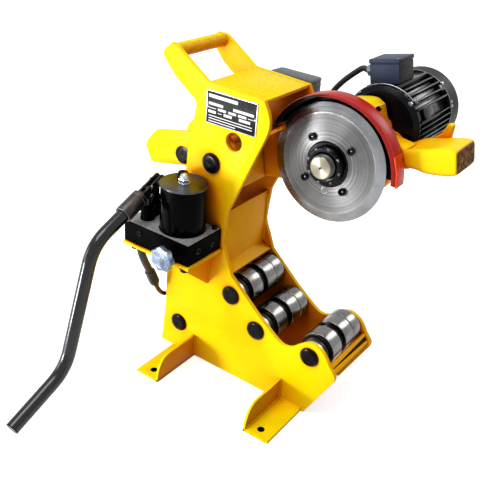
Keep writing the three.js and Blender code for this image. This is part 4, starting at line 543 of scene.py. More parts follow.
# Name, colour, dark colour and roughness range
TURNED_STEELS = {
    "roller": ("roller_steel", (0.20, 0.195, 0.19), (0.11, 0.10, 0.09), (0.17, 0.29)),
    "roller_dark": ("dark_turned_steel", (0.04, 0.038, 0.036), (0.015, 0.014, 0.013), (0.25, 0.45)),
    "collar_gold": ("collar_seal_steel", (0.5, 0.42, 0.32), (0.3, 0.25, 0.2), (0.2, 0.35)),
    "wheel_bevel": ("wheel_bevel_steel", (0.26, 0.265, 0.275), (0.17, 0.17, 0.175), (0.2, 0.32)),
    "socket": ("brushed_socket_steel", (0.085, 0.072, 0.064), (0.022, 0.019, 0.017), (0.25, 0.5)),
}


def make_looks():
    looks = {}
    for key, (name, color, shade, rough, peel, specular, *hollow) in ENAMELS.items():
        looks[key] = enamel(name, color, shade, rough, peel, *hollow, specular=specular)
    for key, row in METALS.items():
        looks[key] = plain_metal(*row)
    for key, row in TURNED_STEELS.items():
        looks[key] = turned_steel(*row)
    return {
        **looks,
        "black_oxide": plain_metal(
            "black_oxide_steel", grey(0.0025), (0.010, 0.009, 0.008), (0.16, 0.3), 0.7, specular=0.15),
        "gloss_oxide": plain_metal(
            "gloss_oxide_steel", (0.003, 0.003, 0.004), (0.010, 0.010, 0.012), (0.14, 0.26), 0.8,
            specular=0.2),
        "lid": turned_steel(
            "brushed_lid_steel", (0.08, 0.083, 0.105), (0.035, 0.035, 0.04), (0.3, 0.42), "Z",
            anisotropic=0.7, rotation=0.25),
        "spindle": turned_steel(
            "spindle_steel", (0.27, 0.245, 0.18), (0.16, 0.145, 0.11), (0.24, 0.36),
            anisotropic=0.85, rotation=0.25),
        "wheel_face": wheel_face_steel(),
        "casting": cast_iron(),
        "hose": speckled_rubber("hose_rubber", (0.003, 0.003, 0.0035), (0.13, 0.13, 0.14)),
        "cable": speckled_rubber("cable_rubber", (0.006, 0.006, 0.008), (0.03, 0.03, 0.034)),
        # The junction box's faces toward +X get a near-black painted shade
        "slate": plastic(
            "slate_box_paint", (0.034, 0.046, 0.078), 0.42, 0.12, (0.012, 0.011, 0.010), specular=0.08),
        "box_black": plastic("black_plastic", (0.002, 0.002, 0.003), 0.4, specular=0.08),
        "switch": plastic("switch_box_plastic", (0.085, 0.09, 0.095), 0.4, specular=0.2),
        "red_plastic": plastic("red_plastic", (0.45, 0.012, 0.01), 0.3, specular=0.3),
        "plate_black": plastic("nameplate_black", (0.0015, 0.0015, 0.002), 0.38, 0.04, specular=0.08),
        "plate_white": plastic("nameplate_field", (0.72, 0.72, 0.70), 0.45, 0.04),
    }


def bend(start, corner, end, steps):
    """The points of a curve that leaves start toward the corner and arrives at end from it."""
    turn = [k / steps for k in range(steps + 1)]
    return [(1 - t) ** 2 * start + 2 * t * (1 - t) * corner + t * t * end for t in turn]


# A fillet takes up a little less than half of the edges beside its corner
FILLET_LIMIT = 0.49


def rounded(corners, closed=False, arc_steps=4):
    """Replaces each corner that has a third value, its fillet, by a short curve."""
    count = len(corners)
    result = []
    for i, corner in enumerate(corners):
        here = Vector(corner[:2])
        fillet = corner[2] if len(corner) > 2 else 0
        if not fillet or (not closed and i in (0, count - 1)):
            result.append(here)
            continue
        before = Vector(corners[i - 1][:2]) - here
        after = Vector(corners[(i + 1) % count][:2]) - here
        reach = min(fillet, FILLET_LIMIT * before.length, FILLET_LIMIT * after.length)
        result += bend(here + before.normalized() * reach, here, here + after.normalized() * reach, arc_steps)
    return result


def arc(radius, start, end, steps=72, x=0.0, z=0.0):
    """Points round a centre from one angle to another."""
    turn = [start + (end - start) * k / steps for k in range(steps + 1)]
    return [(x + radius * math.cos(a), z + radius * math.sin(a)) for a in turn]


def rectangle(half_x, half_z, *fillet):
    """Corners of a rectangle round the origin, each with the same fillet."""
    return [(x * half_x, z * half_z, *fillet) for x, z in ((-1, -1), (1, -1), (1, 1), (-1, 1))]


def circle(x, z, radius, steps=48):
    turn = [2 * math.pi * i / steps for i in range(steps)]
    return [Vector((x + radius * math.cos(a), z + radius * math.sin(a))) for a in turn]


def area_of(loop):
    return 0.5 * sum(a.x * b.y - b.x * a.y for a, b in zip(loop, loop[1:] + loop[:1]))


def inset(loop, distance):
    """Moves a loop's points to their left by a distance, with mitred corners."""
    moved = []
    for i, here in enumerate(loop):
        into = (here - loop[i - 1]).normalized()
        out = (loop[(i + 1) % len(loop)] - here).normalized()
        left = Vector((-into.y, into.x)) + Vector((-out.y, out.x))
        moved.append(here + left * (2 * distance / max(left.length_squared, 1)))
    return moved


def spline(points, steps):
    """A smooth open curve through the points."""
    points = [Vector(p) for p in points]
    points = [2 * points[0] - points[1], *points, 2 * points[-1] - points[-2]]
    result = []
    for i in range(1, len(points) - 2):
        a, b, c, d = points[i - 1:i + 3]
        for k in range(steps):
            t = k / steps
            result.append(0.5 * (2 * b + (c - a) * t + (2 * a - 5 * b + 4 * c - d) * t * t
                                 + (3 * b - a - 3 * c + d) * t ** 3))
    return [*result, points[-2]]


def bezier(a, b, c, d, steps):
    turn = [i / steps for i in range(steps + 1)]
    return [a * (1 - t) ** 3 + b * 3 * t * (1 - t) ** 2 + c * 3 * t * t * (1 - t) + d * t ** 3 for t in turn]


def length_of(route):
    return sum((b - a).length for a, b in zip(route, route[1:]))


def bent_path(corners, bends, steps):
    """Straight runs joined by bends that start and end a given run from their corner."""
    result = [Vector(corners[0])]
    for i, run in enumerate(bends, start=1):
        here = Vector(corners[i])
        enter = here + (Vector(corners[i - 1]) - here).normalized() * run
        leave = here + (Vector(corners[i + 1]) - here).normalized() * run
        result += bend(enter, here, leave, steps)
    return [*result, Vector(corners[-1])]


def even_path(points, spacing):
    """Extra points along straight stretches, so that a pattern or a bend has something to work on."""
    result = [points[0]]
    for a, b in zip(points, points[1:]):
        parts = max(1, round((b - a).length / spacing))
        result += [a.lerp(b, k / parts) for k in range(1, parts + 1)]
    return result


def bridge(bm, rings):
    """Faces between neighbouring rings that have as many points as each other."""
    for first, second in zip(rings, rings[1:]):
        for i in range(len(first)):
            j = (i + 1) % len(first)
            bm.faces.new((first[i], first[j], second[j], second[i]))


# What counts as one point, as flat and as a sharp edge in a CAD node's mesh
SAME_POINT = 0.002
FLAT_ANGLE = math.radians(1)
SHARP_ANGLE = math.radians(30)

# A weld bead's ripples: how far apart they are, and how much of the radius stays between them
RIPPLE = 3.2
RIPPLE_FLOOR = 0.88


class Piece:
    """A piece under construction. Its meshes are added in millimetres, in the frame of its place."""

    def __init__(self, name, look, body, place=None):
        self.name = name
        self.look = LOOKS[look]
        self.body = body
        self.place = place or Matrix.Identity(4)
        self.bm = bmesh.new()

    def merge(self, bm, matrix=None):
        bmesh.ops.recalc_face_normals(bm, faces=bm.faces)
        whole = self.place @ (matrix or Matrix.Identity(4))
        bm.transform(whole)
        if whole.determinant() < 0:
            bmesh.ops.reverse_faces(bm, faces=bm.faces)
        holder = bpy.data.meshes.new("part")
        bm.to_mesh(holder)
        bm.free()
        self.bm.from_mesh(holder)
        bpy.data.meshes.remove(holder)
        return self

    def lathe(self, profile, matrix=None, steps=72, closed=False):
        """A turned part about Y from (radius, along) points. A third value is that corner's fillet."""
        bm = bmesh.new()
        rings = []
        for radius, along in rounded(profile, closed):
            if radius < TINY:
                rings.append([bm.verts.new((0, along, 0))])
                continue
            turn = [2 * math.pi * i / steps for i in range(steps)]
            rings.append([bm.verts.new((radius * math.cos(a), along, radius * math.sin(a))) for a in turn])
        pairs = list(zip(rings, rings[1:]))
        if closed:
            pairs.append((rings[-1], rings[0]))
        for first, second in pairs:
            for i in range(steps):
                j = (i + 1) % steps
                corners = [first[i % len(first)], first[j % len(first)]]
                corners += [second[j % len(second)], second[i % len(second)]]
                unique = [v for k, v in enumerate(corners) if v not in corners[:k]]
                if len(unique) > 2:
                    bm.faces.new(unique)
        return self.merge(bm, matrix)

    def plate(self, outline, low, high, bevel=1.0, holes=(), matrix=None, bevel_steps=3, arc_steps=4):
        """A plate with its outline in X and Z, from low to high along Y, with rounded edges."""
        loops = [rounded(outline, True, arc_steps), *[rounded(h, True) for h in holes]]
        loops = [loop if (area_of(loop) > 0) == (i == 0) else loop[::-1] for i, loop in enumerate(loops)]
        bm = bmesh.new()
        turns = [math.pi / 2 * k / bevel_steps for k in range(bevel_steps + 1)]
        levels = [(bevel * (1 - math.sin(a)), low + bevel * (1 - math.cos(a))) for a in turns]
        levels += [(inward, low + high - y) for inward, y in reversed(levels)]
        ends = {0: [], len(levels) - 1: []}
        for loop in loops:
            rings = [[bm.verts.new((p.x, y, p.y)) for p in inset(loop, inward)] for inward, y in levels]
            bridge(bm, rings)
            for k in ends:
                ends[k] += [bm.edges.get((rings[k][i - 1], rings[k][i])) for i in range(len(loop))]
        for edges in ends.values():
            bmesh.ops.triangle_fill(bm, use_beauty=True, use_dissolve=False, edges=edges)
        return self.merge(bm, matrix)

    def block(self, low, high, bevel=1.0, matrix=None, segments=2):
        bm = bmesh.new()
        bmesh.ops.create_cube(bm, size=1)
        size = [b - a for a, b in zip(low, high)]
        middle = [(a + b) / 2 for a, b in zip(low, high)]
        bm.transform(move(middle) @ Matrix.Diagonal((*size, 1)))
        if bevel:
            bmesh.ops.bevel(
                bm, geom=bm.edges[:], offset=bevel, segments=segments, profile=0.5, affect="EDGES")
        return self.merge(bm, matrix)

    def sweep(self, points, radius, sides=24, matrix=None):
        """A round bar along a path. The radius is a number or a function of the share of the path."""
        size = radius if callable(radius) else (lambda share: radius)
        bm = bmesh.new()
        points = [Vector(p) for p in points]
        heading = (points[1] - points[0]).normalized()
        side = heading.orthogonal().normalized()
        turn = [2 * math.pi * k / sides for k in range(sides)]
        rings = []
        for i, point in enumerate(points):
            ahead = points[min(i + 1, len(points) - 1)] - points[max(i - 1, 0)]
            new_heading = ahead.normalized()
            side = heading.rotation_difference(new_heading) @ side
            heading = new_heading
            side = (side - heading * side.dot(heading)).normalized()
            up = heading.cross(side)
            reach = size(i / (len(points) - 1))
            around_it = [side * math.cos(a) + up * math.sin(a) for a in turn]
            rings.append([bm.verts.new(point + reach * offset) for offset in around_it])
        bridge(bm, rings)
        bm.faces.new(rings[0][::-1])
        bm.faces.new(rings[-1])
        return self.merge(bm, matrix)

    def copy(self, node, bevel):
        """The CAD node's own shape with its sharp edges broken."""
        bm = bmesh.new()
        bm.from_mesh(frame["nodes"][node].data)
        bm.transform(self.place.inverted() @ Matrix.Scale(1 / MM, 4))
        bmesh.ops.remove_doubles(bm, verts=bm.verts, dist=SAME_POINT)
        bmesh.ops.dissolve_limit(bm, angle_limit=FLAT_ANGLE, verts=bm.verts, edges=bm.edges)
        sharp = [e for e in bm.edges if len(e.link_faces) == 2 and e.calc_face_angle(0) > SHARP_ANGLE]
        bmesh.ops.bevel(
            bm, geom=sharp, offset=bevel, segments=2, profile=0.5, affect="EDGES", clamp_overlap=True)
        return self.merge(bm)

    def hexagon(self, across, low, high, matrix=None, bevel=0.8):
        corners = circle(0, 0, across / math.sqrt(3), 6)
        return self.plate(corners, low, high, bevel, matrix=matrix, bevel_steps=2)

    def weld(self, points, radius):
        """A bead with its ripples."""
        path = even_path([Vector(p) for p in points], RIPPLE / 4)
        turn = math.pi * length_of(path) / RIPPLE

        def reach(share):
            return radius * (RIPPLE_FLOOR + (1 - RIPPLE_FLOOR) * abs(math.sin(turn * share)))

        return self.sweep(path, reach, 10)

    def round_weld(self, y, ring, steps, radius):
        """A bead right round a circle about Y."""
        points = [*circle(0, 0, ring, steps), Vector((ring, 0))]
        return self.weld([(p.x, y, p.y) for p in points], radius)

    def done(self, slot, *nodes, smooth=35):
        mesh = bpy.data.meshes.new(self.name)
        self.bm.transform(Matrix.Scale(MM, 4))
        self.bm.to_mesh(mesh)
        self.bm.free()
        mesh.materials.append(self.look.material)
        mesh.shade_smooth()
        mesh.set_sharp_from_angle(angle=math.radians(smooth))
        obj = bpy.data.objects.new(self.name, mesh)
        bpy.context.scene.collection.objects.link(obj)
        if self.body:
            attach(obj, self.body)
        if nodes:
            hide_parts(*nodes)
        return obj


def turn_piece(name, look, body, place, profile, slot, *nodes, **how):
    """A piece that is one turned shape."""
    Piece(name, look, body, place).lathe(profile, **how).done(slot, *nodes)


def dressed(name, look, body, node, slot, bevel):
    """A CAD node's own shape with broken edges, in place of the node."""
    Piece(name, look, body).copy(node, bevel).done(slot, node)


# How far a flat face's corners may lie from its level
LEVEL_GAP = 0.05


def face_loops(node, level):
    """The closed loops, as X and Z points, round a CAD node's flat face at a place along Y."""
    mesh = frame["nodes"][node].data
    corners = [tuple(round(c / MM, 2) for c in v.co) for v in mesh.vertices]
    edges = set()
    for face in mesh.polygons:
        rim = [corners[i] for i in face.vertices]
        if all(abs(c[1] - level) < LEVEL_GAP for c in rim):
            edges |= set(zip(rim, rim[1:] + rim[:1]))
    onward = {a: b for a, b in edges if (b, a) not in edges}
    loops = []
    while onward:
        start, here = onward.popitem()
        loop = [start]
        while here != start:
            loop.append(here)
            here = onward.pop(here)
        loops.append([Vector((c[0], c[2])) for c in loop])
    return sorted(loops, key=lambda loop: -abs(area_of(loop)))


def round_hole(loop):
    """A finer circle where a loop is a polygon round one centre."""
    middle = sum(loop, Vector((0, 0))) / len(loop)
    return circle(middle.x, middle.y, (loop[0] - middle).length)


add_camera()
add_world()
for name, (place, size, power) in LAMPS.items():
    add_lamp(name, place, size, power)
add_floor()
bpy.context.scene.view_settings.view_transform = "Standard"
LOOKS = make_looks()

# Frame plates
PLATE_LOW, PLATE_HIGH = node_box("near_side_plate")
OUTER = -PLATE_LOW.y
INNER = -PLATE_HIGH.y
PLATE_EDGE = 0.9


def add_side_plates():
    for side, low, high in (("near", -OUTER, -INNER), ("far", INNER, OUTER)):
        node = f"{side}_side_plate"
        outline, *holes = face_loops(node, low)
        plate = Piece(f"{side}_frame_plate", "yellow", "frame")
        plate.plate([(p.x, p.y) for p in outline], low, high, PLATE_EDGE, [round_hole(h) for h in holes])
        plate.done("yellow_paint", node, smooth=40)


def add_cross_plates():
    for node in ("top_plate", "front_web", "front_cross_bar", "bottom_plate"):
        dressed(f"{node}_dressed", "yellow", "frame", node, "yellow_paint", PLATE_EDGE)
    low, high = node_box("carry_handle_bar")
    middle = (low + high) / 2
    radius = (high.z - low.z) / 2
    bar = Piece("carry_bar", "yellow", "frame", move((middle.x, 0, middle.z)))
    bar.lathe([(0, low.y), (radius, low.y), (radius, high.y), (0, high.y)])
    for y in (low.y + 1, high.y - 1):
        bar.round_weld(y, radius, 36, 2.2)
    bar.done("yellow_paint", "carry_handle_bar")


CROSS_BAR_THICKNESS = 4


def add_cross_bar_edges():
    """The folded edges of the front cross bar, with a dark sheet of painted shade between them that widens
    toward the far plate.
    """
    low, high = node_box("front_cross_bar")
    across = Vector((high.z - low.z, 0, high.x - low.x)).normalized()
    start = Vector((low.x + CROSS_BAR_THICKNESS * across.x, 0, high.z))
    end = Vector((high.x, 0, low.z + CROSS_BAR_THICKNESS * across.z))
    along = (end - start).normalized()
    length = (end - start).length
    half = INNER - 1.5
    slope = Matrix((along, -along.cross(Vector((0, 1, 0))), (0, 1, 0))).transposed().to_4x4()
    slope = move(start) @ slope

    def strip(piece, near, far, *depth_and_bevel):
        """Near and far say where the strip starts and stops along the bar, at each plate."""
        corners = [(near[0], -half), (near[1], -half), (far[1], half), (far[0], half)]
        piece.plate(corners, *depth_and_bevel, matrix=slope)

    upper, lower = (0.40 * length, 0.27 * length), (0.50 * length, 0.74 * length)
    edges = Piece("cross_bar_edges", "yellow", "frame")
    strip(edges, (0.5, upper[0]), (0.5, upper[1]), -2.2, 0.5, 0.6)
    strip(edges, (lower[0], length - 0.5), (lower[1], length - 0.5), -2.2, 0.5, 0.6)
    edges.done("yellow_paint")
    # A dark sheet stands in for the shade in the recess between the edges
    hollow = Piece("cross_bar_painted_shade", "brown_dark", "frame")
    strip(hollow, (upper[0] - 1, lower[0] + 1), (upper[1] - 1, lower[1] + 1), -0.3, 0.3, 0.1)
    hollow.done("yellow_paint")


# Seams between the plates: the node, the bead's radius and its route in X and Z between the node's corners
SEAMS = {
    "web": ("front_web", 2.6, lambda a, b: [(a.x + 6, b.z - 6), (a.x + 6, a.z + 18), (b.x - 4, a.z + 9)]),
    "top": ("top_plate", 2.4, lambda a, b: [(a.x + 4, b.z - 6.5), (b.x - 4, a.z - 0.5)]),
    "cross_bar": ("front_cross_bar", 2.2, lambda a, b: [(a.x + 1, b.z - 5), (b.x - 5, a.z + 1)]),
}


def add_frame_welds():
    """Beads along the seams between the plates, where a welder would lay them."""
    for name, (node, radius, route) in SEAMS.items():
        welds = Piece(f"{name}_welds", "weld", "frame")
        for y in (-INNER, INNER):
            welds.weld([(x, y, z) for x, z in route(*node_box(node))], radius)
        welds.done("yellow_paint")


FOOT_HOLE_SETBACK = 19.5
FOOT_HOLE_DIAMETER = 13
FOOT_THICKNESS = 5
FOOT_KNEE_SHARE = 0.688


def add_foot(side, row):
    node = f"{side}_{row}_foot"
    low, high = node_box(node)
    tip, root = (low.y, high.y) if side == "near" else (high.y, low.y)
    toward = 1 if side == "near" else -1
    reach = abs(tip - root)
    hole_x, hole_y = (low.x + high.x) / 2, tip + toward * FOOT_HOLE_SETBACK
    hole = FOOT_HOLE_DIAMETER / 2
    foot = Piece(f"{node}_angle", "yellow", "frame")
    flat = [(low.x, low.y), (high.x, low.y), (high.x, high.y), (low.x, high.y)]
    foot.plate(flat, 0, FOOT_THICKNESS, 0.7, [circle(hole_x, hole_y, hole, 32)], LAID_FLAT)
    knee = Vector((reach * FOOT_KNEE_SHARE, high.z))
    corner = Vector((reach - FOOT_THICKNESS, high.z))
    fall = [tuple(p) for p in bend(knee, corner, Vector((reach, FOOT_THICKNESS)), 8)]
    leg_x = high.x - FOOT_THICKNESS if row == "rear" else low.x
    stand = Matrix(((0, 1, 0, leg_x), (-toward, 0, 0, root), (0, 0, 1, 0), (0, 0, 0, 1)))
    foot.plate([(0, 0.3), (0, high.z, 1), *fall, (reach, 0.3)], 0, FOOT_THICKNESS, 0.8, matrix=stand)
    inside = leg_x if row == "rear" else leg_x + FOOT_THICKNESS
    foot.weld([(inside, root - toward, FOOT_THICKNESS), (inside, tip + toward * 6, FOOT_THICKNESS)], 2.6)
    foot.done("yellow_paint", node)
    # A dark cup closes the bolt hole: painted shade for the floor seen through it
    turn_piece(f"{node}_hole_painted_shade", "box_black", "frame", move((hole_x, hole_y, 0)) @ ALONG_Z, [
        (0, 0.1), (0, 0.9), (hole - 1.3, 0.9), (hole - 0.9, FOOT_THICKNESS - 0.2, 0.3),
        (hole - 0.05, FOOT_THICKNESS + 0.05), (hole - 0.05, 0.1),
    ], "black_paint", steps=32, closed=True)
    welds = Piece(f"{node}_welds", "weld", "frame")
    for x in (leg_x, leg_x + FOOT_THICKNESS):
        welds.weld([(x, root, FOOT_THICKNESS + 2), (x, root, high.z - 2)], 2.4)
    welds.weld([(low.x + 1, root, FOOT_THICKNESS), (high.x - 1, root, FOOT_THICKNESS)], 2.6)
    welds.done("yellow_paint")


# The nameplate's blank fields as (left, top, right, bottom) shares of the plate
NAMEPLATE_FIELDS = [
    (0.05, 0.11, 0.62, 0.21),
    (0.05, 0.35, 0.34, 0.43), (0.54, 0.35, 0.94, 0.43),
    (0.05, 0.505, 0.20, 0.525), (0.24, 0.48, 0.40, 0.55), (0.45, 0.48, 0.60, 0.55), (0.64, 0.48, 0.80, 0.55),
    (0.83, 0.505, 0.94, 0.525),
    (0.05, 0.59, 0.20, 0.67), (0.24, 0.62, 0.32, 0.64), (0.36, 0.59, 0.52, 0.67), (0.66, 0.59, 0.88, 0.67),
    (0.06, 0.74, 0.92, 0.765), (0.06, 0.82, 0.92, 0.845), (0.06, 0.90, 0.60, 0.925),
]
NAMEPLATE_BORDER = 1.6


def add_nameplate():
    low, high = node_box("nameplate")
    middle = (low + high) / 2
    place = move((middle.x, high.y, middle.z))
    half_x, half_z = (high.x - low.x) / 2, (high.z - low.z) / 2
    thick = high.y - low.y
    border = Piece("nameplate_sheet", "screw", "frame", place)
    border.plate(rectangle(half_x, half_z, 1), -thick, 0, 0.25).done("nameplate_black", "nameplate")
    face = Piece("nameplate_face", "plate_black", "frame", place)
    inner = rectangle(half_x - NAMEPLATE_BORDER, half_z - NAMEPLATE_BORDER, 0.6)
    face.plate(inner, -thick - 0.15, -thick + 0.1, 0.05).done("nameplate_black")
    fields = Piece("nameplate_fields", "plate_white", "frame", place)
    for left, top, right, bottom in NAMEPLATE_FIELDS:
        x = [-half_x + share * 2 * half_x for share in (left, right)]
        z = [half_z - share * 2 * half_z for share in (bottom, top)]
        corners = [(x[0], z[0], 0.4), (x[1], z[0], 0.4), (x[1], z[1], 0.4), (x[0], z[1], 0.4)]
        fields.plate(corners, -thick - 0.3, -thick - 0.1, 0.05)
    fields.done("nameplate_black")
    rivets = Piece("nameplate_rivets", "screw", "frame", place)
    for x in (-half_x + 3.2, half_x - 3.2):
        dome = [(0, -thick - 1.1), (1.6, -thick - 0.9, 0.5), (2, -thick, 0.3), (0, -thick + 0.1)]
        rivets.lathe(dome, move((x, 0, 0)), 24)
    rivets.done("nameplate_black")


# Pins: a turned shank with a head on each plate
HEAD_RADIUS = 18
HEAD_HEIGHT = 5
PIVOT_RADIUS = 15
CYLINDER_PIN_RADIUS = 11
SHAFT_RADIUS = 12.5
SPACER_RADIUS = 27
ROLLER_BORE = SHAFT_RADIUS + FIT


def mirrored(profile):
    """The same turned profile on the other side of the middle."""
    return [(radius, -along, *fillet) for radius, along, *fillet in profile]


def headed_pin(name, node, place, shank, middle=()):
    """A pin about Y whose domed heads have a ring groove and a centre mark."""
    base = OUTER + FIT
    top = base + HEAD_HEIGHT
    head = [
        (0, top - 0.9), (1.1, top - 0.9), (1.5, top - 0.1, 0.2), (HEAD_RADIUS - 7, top, 0.8),
        (HEAD_RADIUS - 4.2, top - 0.4, 1), (HEAD_RADIUS, top - 2.4, 1.4), (HEAD_RADIUS, base, 0.6),
        (shank, base),
    ]
    profile = [*mirrored(head), *middle, *reversed(head)]
    turn_piece(name, "black_oxide", "frame", move((place.x, 0, place.z)), profile, "black_steel", node)


def add_pins():
    headed_pin("pivot_pin_turned", "arm_pivot_pin", PIVOT, PIVOT_RADIUS)
    headed_pin("cylinder_pin_turned", "cylinder_pin", CYLINDER, CYLINDER_PIN_RADIUS)


def add_collar(row, stand):
    """The collar that holds a shaft's rings, with its bright seal."""
    low, high = node_box(f"{row}_roller_collar")
    radius = (high.z - low.z) / 2
    middle = (low.y + high.y) / 2
    neck = radius - 3.4
    turn_piece(f"{row}_collar_turned", "roller_dark", "frame", stand, [
        (ROLLER_BORE, low.y), (radius - 1.5, low.y), (radius - 1.5, middle - 2), (radius, middle - 2, 0.6),
        (radius, high.y - 5, 0.6), (neck, high.y - 4, 0.5), (neck, high.y, 0.6), (ROLLER_BORE, high.y),
    ], "roller_steel", f"{row}_roller_collar", closed=True)
    turn_piece(f"{row}_collar_seal", "collar_gold", "frame", stand, [
        (radius - 3, low.y), (radius - 0.5, low.y, 0.5), (radius - 0.5, low.y + 2.6, 0.5),
        (radius - 1.3, low.y + 3, 0.3), (radius - 1.3, middle - 2.2, 0.3), (radius - 3, middle - 2.2),
    ], "roller_steel", closed=True, steps=96)


# The rounding of each ring's far edge, and the groove between the middle ring and the far one, which a black
# ring fills as painted shade
RING_ROUNDING = {"near": 0.6, "middle": 0.3, "far": 5}
RING_GROOVE = 1.3


def add_ring(row, position, stand, start, end, outer):
    body = f"{row}_{position}_roller"
    far = RING_ROUNDING[position]
    stop = end
    if position == "middle":
        stop = end - RING_GROOVE
        # A black ring in the groove: painted shade between the rings
        turn_piece(f"{row}_ring_groove_shade", "box_black", body, stand, [
            (ROLLER_BORE, stop), (outer - 1, stop), (outer - 1, end), (ROLLER_BORE, end),
        ], "roller_steel", closed=True, steps=96)
    lip = outer - 5
    turn_piece(f"{row}_{position}_roller_ring", "roller", body, stand, [
        (ROLLER_BORE, start + 0.6), (lip, start + 0.6, 0.3), (lip, start, 0.4), (outer - 0.7, start, 0.3),
        (outer, start + 0.7, 0.3), (outer, stop - far, far * 0.8), (outer - far, stop, 0.3),
        (lip - 3, stop, 0.4), (ROLLER_BORE, stop - 0.6),
    ], "roller_steel", f"{row}_{position}_ring", closed=True, steps=96)


def add_rollers():
    for row, place in ROWS.items():
        stand = move((place.x, 0, place.z))
        spans = {}
        for position in ("near", "middle", "far"):
            low, high = node_box(f"{row}_{position}_ring")
            spans[position] = (low.y, high.y, (high.z - low.z) / 2)
        start, stop = spans["near"][1] + FIT, spans["middle"][0] - FIT
        headed_pin(f"{row}_shaft_turned", f"{row}_roller_shaft", place, SHAFT_RADIUS, [
            (SHAFT_RADIUS, start), (SPACER_RADIUS, start, 1), (SPACER_RADIUS, stop, 1), (SHAFT_RADIUS, stop),
        ])
        add_collar(row, stand)
        for position, span in spans.items():
            add_ring(row, position, stand, *span)


# Hand pump
BLOCK_LOW, BLOCK_HIGH = node_box("pump_block")
TANK_LOW, TANK_HIGH = node_box("oil_tank")
TANK_AXIS = (TANK_LOW + TANK_HIGH) / 2
TANK_RADIUS = (TANK_HIGH.x - TANK_LOW.x) / 2
LEVER_ANGLE = math.radians(23.5)
LEVER_PLACE = move(LEVER) @ Matrix.Rotation(LEVER_ANGLE, 4, "X")
PISTON_LOW, PISTON_HIGH = node_box("pump_piston")
PISTON_AXIS = (PISTON_LOW + PISTON_HIGH) / 2
LINK_RADIUS = 21.6
PISTON_PIN = Vector((LEVER.x, PISTON_AXIS.y, LEVER.z - LINK_RADIUS * math.sin(LEVER_ANGLE)))


def hanging_bolt(piece, place, across, height):
    """A bolt head with its washer, under a plate whose lower face is at the place."""
    stand = move(place) @ ALONG_Z @ Matrix.Diagonal((1, -1, 1, 1))
    piece.lathe([(0, 0), (across * 0.72, 0, 0.2), (across * 0.72, 1.4, 0.4), (0, 1.4)], stand, 36)
    piece.hexagon(across, 1.4, 1.4 + height, stand)


def socket_screw(piece, place, radius, height):
    """A cap screw about Y, with its socket, standing on the place."""
    key = radius * 0.55
    piece.lathe([
        (0, height * 0.35), (key, height * 0.35), (key, height, 0.3), (radius, height, 0.8), (radius, -0.3),
    ], place, 32)


def add_bracket():
    low, high = node_box("pump_bracket")
    dressed("pump_bracket_plate", "yellow", "frame", "pump_bracket", "yellow_paint", PLATE_EDGE)
    base = BLOCK_LOW.z - FIT - 6
    root = -OUTER - FIT
    gusset = high.x - 28
    welds = Piece("pump_bracket_welds", "weld", "frame")
    welds.weld([(low.x + 24, root, base), (high.x - 3, root, base)], 2.2)
    for x in (gusset - 6, gusset):
        welds.weld([(x, root, base - 3), (x, root, low.z + 3)], 2.2)
        welds.weld([(x, root - 2, base), (x, low.y + 12, base)], 1.8)
    welds.done("yellow_paint")
    bolts = Piece("bracket_bolts", "black_oxide", "frame")
    near_edge = ((BLOCK_LOW.x + 19, low.y + 12), (BLOCK_HIGH.x - 10, low.y + 8))
    far_edge = ((BLOCK_LOW.x + 40, high.y - 16), (BLOCK_HIGH.x - 10, high.y - 16))
    for x, y in (*near_edge, *far_edge):
        hanging_bolt(bolts, (x, y, base), 13, 6)
    bolts.done("black_steel")


def port_plug(piece, place, radius, hole, height):
    """A threaded plug about Y. Hole gives its socket's radius at the bottom and at the top."""
    piece.lathe([
        (0, -0.6), (hole[0], -0.6), (hole[1], height, 0.2), (radius, height + 0.2, 0.5), (radius, -0.5),
    ], place, 36)


# Plugs on the block's front face: how far they are from its near face, their height and their radius
FRONT_PLUGS = ((26, 283, 6), (64, 281, 4.5))


def add_pump_block():
    low, high = BLOCK_LOW, BLOCK_HIGH
    block = Piece("pump_block_cast", "satin_black", "frame")
    block.block(low, high, 1.4, segments=3)
    boss = [(6.8, 1), (11, 1), (11, -3.5, 0.8), (8, -5, 0.6), (6.8, -5, 0.3)]
    block.lathe(boss, move((KNOB.x, low.y, KNOB.z)), 48, closed=True)
    block.done("black_paint", "pump_block")
    rim = 2
    # A lighter grey sheet over the block's top: painted sheen
    top = Piece("pump_block_painted_sheen", "block_top", "frame")
    top.block((low.x + rim, low.y + rim, high.z - 1), (high.x - rim, high.y - rim, high.z + 0.25), 0.2)
    top.done("black_paint")
    plugs = Piece("pump_block_plugs", "black_oxide", "frame")
    for y, z, radius in FRONT_PLUGS:
        port_plug(plugs, move((high.x, low.y + y, z)) @ ALONG_X, radius, (radius * 0.5, radius * 0.55), 1.4)
    for x in (low.x + 36, low.x + 112):
        if abs(x - KNOB.x) > 30:
            port_plug(plugs, move((x, low.y, low.z + 24)) @ FACING_NEAR, 5.2, (2.6, 2.8), 1.2)
    plugs.done("black_steel")
    caps = Piece("pump_block_screws", "black_oxide", "frame")
    for x, y in ((low.x + 10, high.y - 10), (high.x - 9, high.y - 9)):
        socket_screw(caps, move((x, y, high.z)) @ ALONG_Z, 5, 5.5)
    caps.done("black_steel")


def add_tank():
    radius = TANK_RADIUS
    brim = TANK_HIGH.z - TANK_LOW.z - 0.3
    stand = move((TANK_AXIS.x, TANK_AXIS.y, TANK_LOW.z)) @ ALONG_Z
    tank = Piece("oil_tank_shell", "gloss_black", "frame", stand)
    tank.lathe([
        (0, 0), (radius - 0.4, 0), (radius, 0.6, 0.5), (radius, brim, 0.4), (radius - 2.6, brim, 0.4),
        (radius - 2.6, 3), (0, 3),
    ], steps=128)
    tank.round_weld(0.6, radius, 72, 1.3).done("black_paint", "oil_tank")
    add_lid()


